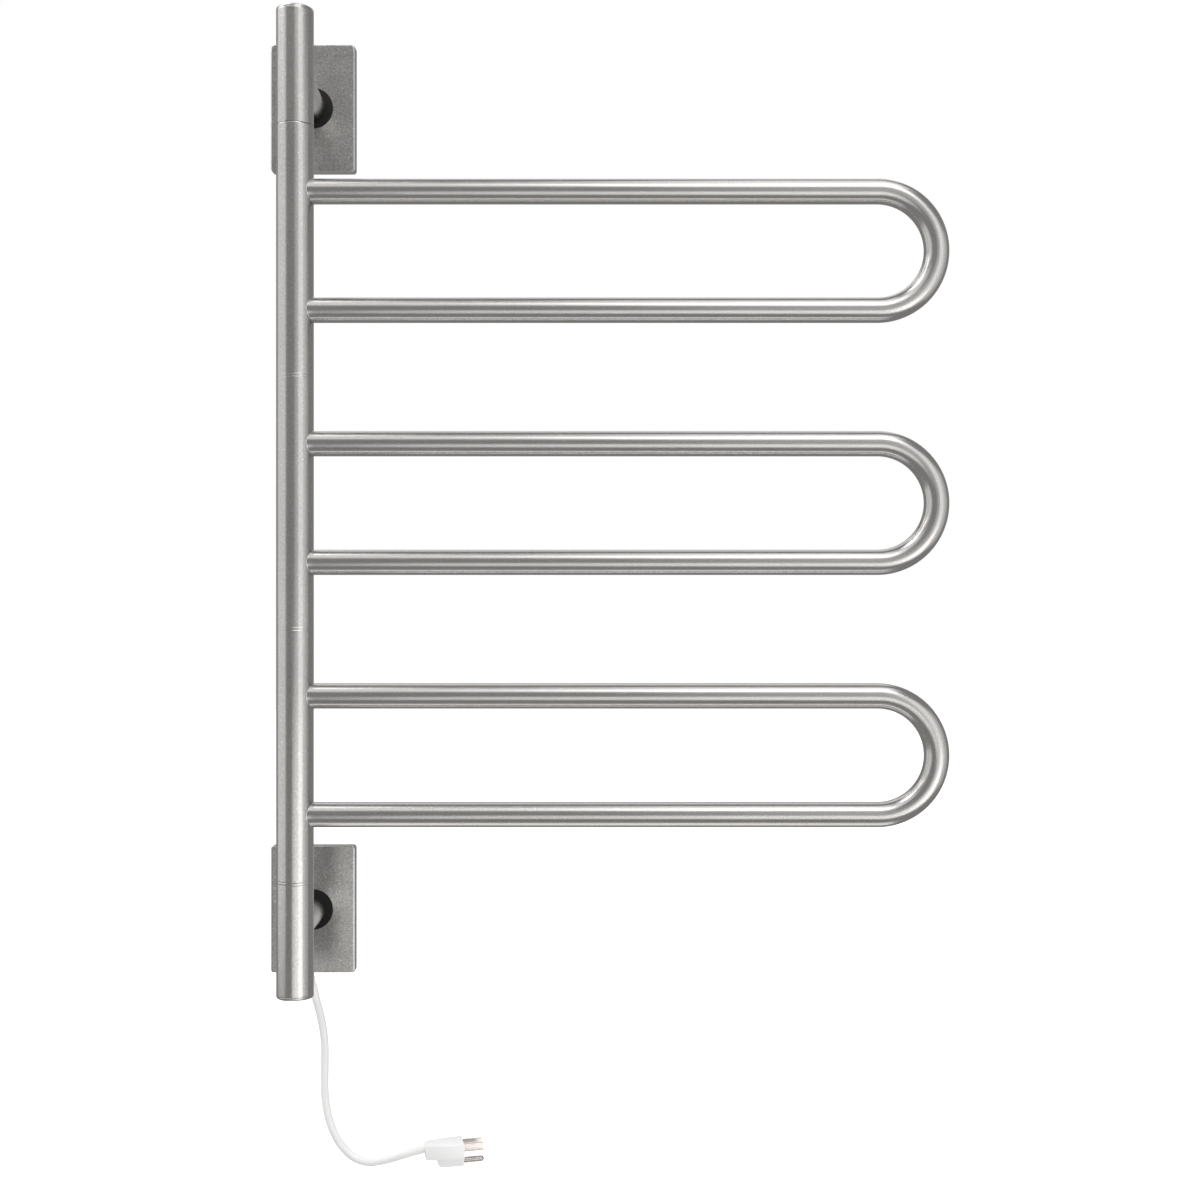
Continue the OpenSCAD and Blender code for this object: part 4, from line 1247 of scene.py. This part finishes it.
class TOWELWARMER_OT_end_caps(bpy.types.Operator):
    """Makes the turned caps that close the post's ends."""
    bl_idname = "towel_warmer.end_caps"
    bl_label = "End caps"

    def execute(self, context):
        post = context.scene.towel_post
        for end in ENDS:
            low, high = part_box(f"{end}_end_cap")
            sign = 1 if end == "upper" else -1
            tip = high.z if sign > 0 else low.z
            rim, soft, bevel = post.cap_rim, post.cap_round, post.cap_bevel
            inner = post.radius - post.wall
            outline = [(0, -span(f"{end}_end_cap", 2), 0), (inner - 0.4 * MM, -span(f"{end}_end_cap", 2), 0),
                       (inner, 0.4 * MM - span(f"{end}_end_cap", 2), 0), (inner, -rim, 0),
                       (post.radius - bevel, -rim, 0.5), (post.radius, bevel - rim, 0.5)]
            outline += [(post.radius - soft + soft * math.cos(t), -soft + soft * math.sin(t),
                         0.35 * math.sin(2 * t))
                        for t in degrees(0, 91, 10)]
            outline += [(post.radius * 0.6, 0, 0), (post.radius * 0.25, 0, 0), (0, 0, 0)]
            place = Matrix.Translation((0, POST_Y, tip)) @ Matrix.Diagonal((1, 1, sign, 1))
            piece = turned(f"{end}_post_cap", outline, post.sides)
            piece.data.transform(place)
            if sign < 0:
                piece.data.flip_normals()
            piece.data.materials.append(post_steel())
            hand_over(piece, "wall_frame", "brushed_steel", f"{end}_end_cap")
        return {"FINISHED"}


class TOWELWARMER_OT_standoffs(bpy.types.Operator):
    """Makes the turned standoffs, each saddled to the post, with a grub screw hole below."""
    bl_idname = "towel_warmer.standoffs"
    bl_label = "Standoffs"

    def execute(self, context):
        standoff, post, bar = context.scene.towel_standoff, context.scene.towel_post, context.scene.towel_bar
        wall_to_post = -POST_Y
        bore, soft, start = standoff.bore, standoff.round, standoff.start
        outline = [(bore, start, 0), (bore + 0.3 * MM, start, 0), (standoff.end_radius - soft, start, 0)]
        outline += [(standoff.end_radius - soft + soft * math.sin(t), start + soft - soft * math.cos(t), 0)
                    for t in degrees(10, 91, 10)]
        near, far = outline[-1], (standoff.radius, standoff.taper_end, 0)
        outline += [tuple(near[i] + (far[i] - near[i]) * k / 8 for i in range(3)) for k in range(1, 9)]
        outline += [(standoff.radius, (standoff.taper_end + wall_to_post - 22 * MM) / 2, 0)]
        for part in reversed(WELD_PARTS):
            outline.append((standoff.radius + weld_flare(bar.weld, part), 1 - part * bar.weld, 0))
        outline.append((standoff.radius + bar.weld, 1 + bar.seat, 0))
        outline += [(standoff.wire_radius, 1 + bar.seat, 0),
                    (standoff.wire_radius, standoff.taper_end + 0.5 * MM, 0),
                    (bore, standoff.taper_end + 0.5 * MM, 0)]

        def to_post(x, y, radius, height):
            """Heights near 1 are measured from the post's own surface."""
            if height < 0.9:
                return height
            return wall_to_post - math.sqrt(post.radius ** 2 - min(x * x,
                                                                   (0.98 * post.radius) ** 2)) + height - 1

        for end in ENDS:
            height = middle(f"{end}_ring").z
            place = Matrix.Translation((0, 0, height)) @ OUT_OF_WALL
            piece = turned(f"{end}_turned_standoff", outline, post.sides, place, to_post)
            cut(piece, rod(standoff.screw_radius, (0, -standoff.screw_at, height - 5 * MM),
                           (0, -standoff.screw_at, height - 2 * standoff.radius)))
            piece.data.materials.append(turned_steel())
            hand_over(piece, "wall_frame", "brushed_steel", f"{end}_standoff")
        return {"FINISHED"}


class TOWELWARMER_OT_grub_screws(bpy.types.Operator):
    """Makes the hexagon grub screws under the standoffs and behind the post's ends."""
    bl_idname = "towel_warmer.grub_screws"
    bl_label = "Grub screws"

    def execute(self, context):
        standoff = context.scene.towel_standoff
        for node, direction, axis in (("standoff_grub_screws", Vector((0, 0, -1)), 2),
                                      ("collar_grub_screws", Vector((0, 1, 0)), 1)):
            low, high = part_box(node)
            heights = [middle(f"{end}_ring" if axis == 2 else f"{end}_spindle_collar").z for end in ENDS]
            if axis == 2:
                long = heights[1] - low.z - standoff.bore
                seats = [Vector((0, (low.y + high.y) / 2, h - standoff.bore)) for h in heights]
            else:
                long = high.y - low.y
                seats = [Vector((0, low.y, h)) for h in heights]
            mesh = bpy.data.meshes.new(f"{node}_set")
            mesh.from_pydata([tuple(s) for s in seats], [], [])
            piece = finished(f"{node}_set", mesh, sharp=None)
            grown(piece, set_screw_tree(), Screw_Radius=standoff.screw_radius - 0.05 * MM, Length=long,
                  Socket_Radius=standoff.socket, Socket_Depth=standoff.socket_depth, Direction=direction,
                  Material=zinc_plate())
            hand_over(piece, "wall_frame", "zinc_steel", node)
        return {"FINISHED"}


# ---- Wall plates and rings ----

def rounded_outline(half_width, half_height, corner, steps=8, run=12):
    """Points round a rectangle with round corners, always the same number and order."""
    points = []
    for quarter, (sx, sz) in enumerate(((1, 1), (-1, 1), (-1, -1), (1, -1))):
        centre = Vector((sx * (half_width - corner), sz * (half_height - corner)))
        begin = quarter * math.pi / 2
        arc = [centre + corner * Vector((math.cos(begin + t), math.sin(begin + t)))
               for t in (math.pi / 2 * k / steps for k in range(steps + 1))]
        points += arc
        nsx, nsz = ((-1, 1), (-1, -1), (1, -1), (1, 1))[quarter]
        following = Vector((nsx * (half_width - corner), nsz * (half_height - corner)))
        begin += math.pi / 2
        target = following + corner * Vector((math.cos(begin), math.sin(begin)))
        points += [arc[-1].lerp(target, k / run) for k in range(1, run)]
    return points


class TOWELWARMER_OT_cover_plates(bpy.types.Operator):
    """Makes the pressed steel covers over the wall brackets."""
    bl_idname = "towel_warmer.cover_plates"
    bl_label = "Cover plates"

    def execute(self, context):
        plate, cord = context.scene.towel_plate, context.scene.towel_cord
        for end in ENDS:
            height = middle(f"{end}_ring").z
            mesh = self.shell(plate)
            mesh.transform(Matrix.Translation((0, PLATE_BACK, height)))
            piece = finished(f"{end}_pressed_cover", mesh)
            if end == "lower":
                axis = relief_axis(cord)
                above, below = (axis @ Vector((0, 0, z * MM)) for z in (4, -4))
                cut(piece, rod(cord.relief_diameter / 2 + 0.15 * MM, below, above))
            piece.data.materials.append(plate_steel())
            hand_over(piece, "wall_frame", "brushed_plate", f"{end}_cover_plate")
        return {"FINISHED"}

    def shell(self, plate):
        """A closed skin round a pressed cover, open at the wall, from its back rim to the ring's hole."""
        half_w, half_h, depth, sheet = plate.width / 2, plate.height / 2, plate.depth, plate.sheet
        back = rounded_outline(half_w, half_h, plate.corner)
        loops = [([(p.x, 0, p.y) for p in back], 0), ([(p.x, -depth / 2, p.y) for p in back], 0),
                 ([(p.x, plate.bend + 0.6 * MM - depth, p.y) for p in back], 0)]
        for k in range(0, 7):
            turn = math.radians(15 * k)
            give = 1 - math.cos(turn)
            ring = rounded_outline(half_w - plate.bend * give, half_h - plate.edge * give, plate.corner)
            loops.append(([(p.x, plate.bend * (1 - math.sin(turn)) - depth, p.y) for p in ring],
                          0.8 * math.sin(2 * turn)))
        front = rounded_outline(half_w - plate.bend, half_h - plate.edge, plate.corner)
        guard = rounded_outline(half_w - plate.bend - GUARD, half_h - plate.edge - GUARD, plate.corner)
        hole = [plate.hole_radius * p.normalized() for p in front]
        loops.append(([(p.x, -depth, p.y) for p in guard], 0))
        loops += [([(p.x, -depth, p.y) for p in (a.lerp(b, t) for a, b in zip(guard, hole))],
                   0) for t in (0.35, 0.7)]
        loops.append(([(p.x, -depth, p.y) for p in hole], 0))
        loops.append(([(p.x, sheet - depth, p.y) for p in hole], 0))
        inside = rounded_outline(half_w - sheet, half_h - sheet, max(plate.corner - sheet, 0.2 * MM))
        loops.append(([(p.x, sheet - depth, p.y) for p in inside], 0))
        loops.append(([(p.x, 0, p.y) for p in inside], 0))
        bm = new_skin()
        rings = [[bm.verts.new(p) for p in points] for points, _ in loops]
        closed_rings(bm, rings, [w for _, w in loops], 0.002)
        bmesh.ops.recalc_face_normals(bm, faces=bm.faces)
        return as_mesh(bm, "pressed_cover")


class TOWELWARMER_OT_rings(bpy.types.Operator):
    """Makes the flat black rings on the cover plates."""
    bl_idname = "towel_warmer.rings"
    bl_label = "Rings"

    def execute(self, context):
        plate, finish = context.scene.towel_plate, context.scene.towel_finish
        black = moulded("Black plastic ring", finish.black, 0.55, stipple=1300.0, depth=0.10, specular=0.22)
        face, front, soft = plate.depth, RING_FRONT, plate.ring_edge
        bore, outer = plate.ring_bore, plate.ring_radius
        outline = [(bore, face - plate.sheet, 0), (plate.hole_radius - 0.02 * MM, face - plate.sheet, 0),
                   (plate.hole_radius - 0.02 * MM, face, 0), (outer, face, 0), (outer, front - soft, 0)]
        outline += [(outer - soft + soft * math.cos(t), front - soft + soft * math.sin(t), 0)
                    for t in degrees(15, 91, 15)]
        outline += [(outer * 0.8, front, 0), (bore + 0.2 * MM, front, 0), (bore, front - 0.2 * MM, 0)]
        for end in ENDS:
            place = Matrix.Translation((0, 0, middle(f"{end}_ring").z)) @ OUT_OF_WALL
            piece = turned(f"{end}_black_ring", outline, 96, place, material=black)
            hand_over(piece, "wall_frame", "black_plastic", f"{end}_ring")
        return {"FINISHED"}


# ---- Inner parts ----

class TOWELWARMER_OT_inner_parts(bpy.types.Operator):
    """Gives the parts behind the covers and inside the post their finishes."""
    bl_idname = "towel_warmer.inner_parts"
    bl_label = "Inner parts"

    def execute(self, context):
        finish = context.scene.towel_finish
        zinc = zinc_plate()
        nylon = moulded("Natural nylon", (0.80, 0.78, 0.71), 0.45, stipple=700.0, depth=0.06, subsurface=0.1)
        silicone = moulded("Red silicone", (0.36, 0.075, 0.045), 0.5, stipple=1500.0, depth=0.05)
        seal = moulded("Black seal rubber", (0.022, 0.022, 0.022), 0.7, stipple=1100.0, depth=0.12,
                       specular=0.35)
        brass = metal("Plain brass", (0.72, 0.54, 0.25), 0.3, cloud=60.0, cloudiness=0.06, depth=0.05,
                      painted_glints=0.1)
        lead = moulded("White inner lead", finish.vinyl, 0.42, stipple=1100.0, depth=0.05)
        paints = {"spindle": zinc, "terminal_block": nylon, "terminal_screws": brass, "supply_lead": lead,
                  "wire_loom": silicone}
        for end in ENDS:
            paints[f"{end}_wall_bracket"] = paints[f"{end}_spindle_collar"] = zinc
        for arm in ARMS:
            paints[f"{arm}_bushes"] = nylon
            paints[f"{arm}_heating_cable"] = paints[f"{arm}_lead"] = silicone
            paints[f"{arm}_cable_seals"] = seal
        for node, paint in paints.items():
            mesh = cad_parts[node].data
            mesh.materials.clear()
            mesh.materials.append(paint)
        return {"FINISHED"}


OPERATORS = (
    TOWELWARMER_OT_stage, TOWELWARMER_OT_cord, TOWELWARMER_OT_plug, TOWELWARMER_OT_bars,
    TOWELWARMER_OT_sleeves,
    TOWELWARMER_OT_washers, TOWELWARMER_OT_post_ends, TOWELWARMER_OT_end_caps, TOWELWARMER_OT_standoffs,
    TOWELWARMER_OT_grub_screws, TOWELWARMER_OT_cover_plates, TOWELWARMER_OT_rings, TOWELWARMER_OT_inner_parts,
)


class TOWELWARMER_PT_panel(bpy.types.Panel):
    """Lists the towel warmer's pieces and their sizes."""
    bl_idname = "TOWELWARMER_PT_panel"
    bl_label = "Towel Warmer"
    bl_space_type = "VIEW_3D"
    bl_region_type = "UI"
    bl_category = "Towel Warmer"

    def draw(self, context):
        pieces = self.layout.column(align=True)
        for operator in OPERATORS:
            pieces.operator(operator.bl_idname)
        for key, group in GROUPS.items():
            box = self.layout.box()
            box.label(text=group.__name__.replace("TowelWarmer", ""))
            for name in group.__annotations__:
                box.prop(getattr(context.scene, key), name)


CLASSES = (*GROUPS.values(), *OPERATORS, TOWELWARMER_PT_panel)


def register():
    for cls in CLASSES:
        bpy.utils.register_class(cls)
    for key, group in GROUPS.items():
        setattr(bpy.types.Scene, key, PointerProperty(type=group))


def unregister():
    for key in GROUPS:
        delattr(bpy.types.Scene, key)
    for cls in reversed(CLASSES):
        bpy.utils.unregister_class(cls)


def main():
    """Makes the towel warmer and its studio."""
    register()
    for operator in OPERATORS:
        group, name = operator.bl_idname.split(".")
        getattr(getattr(bpy.ops, group), name)()


if __name__ == "__main__":
    main()
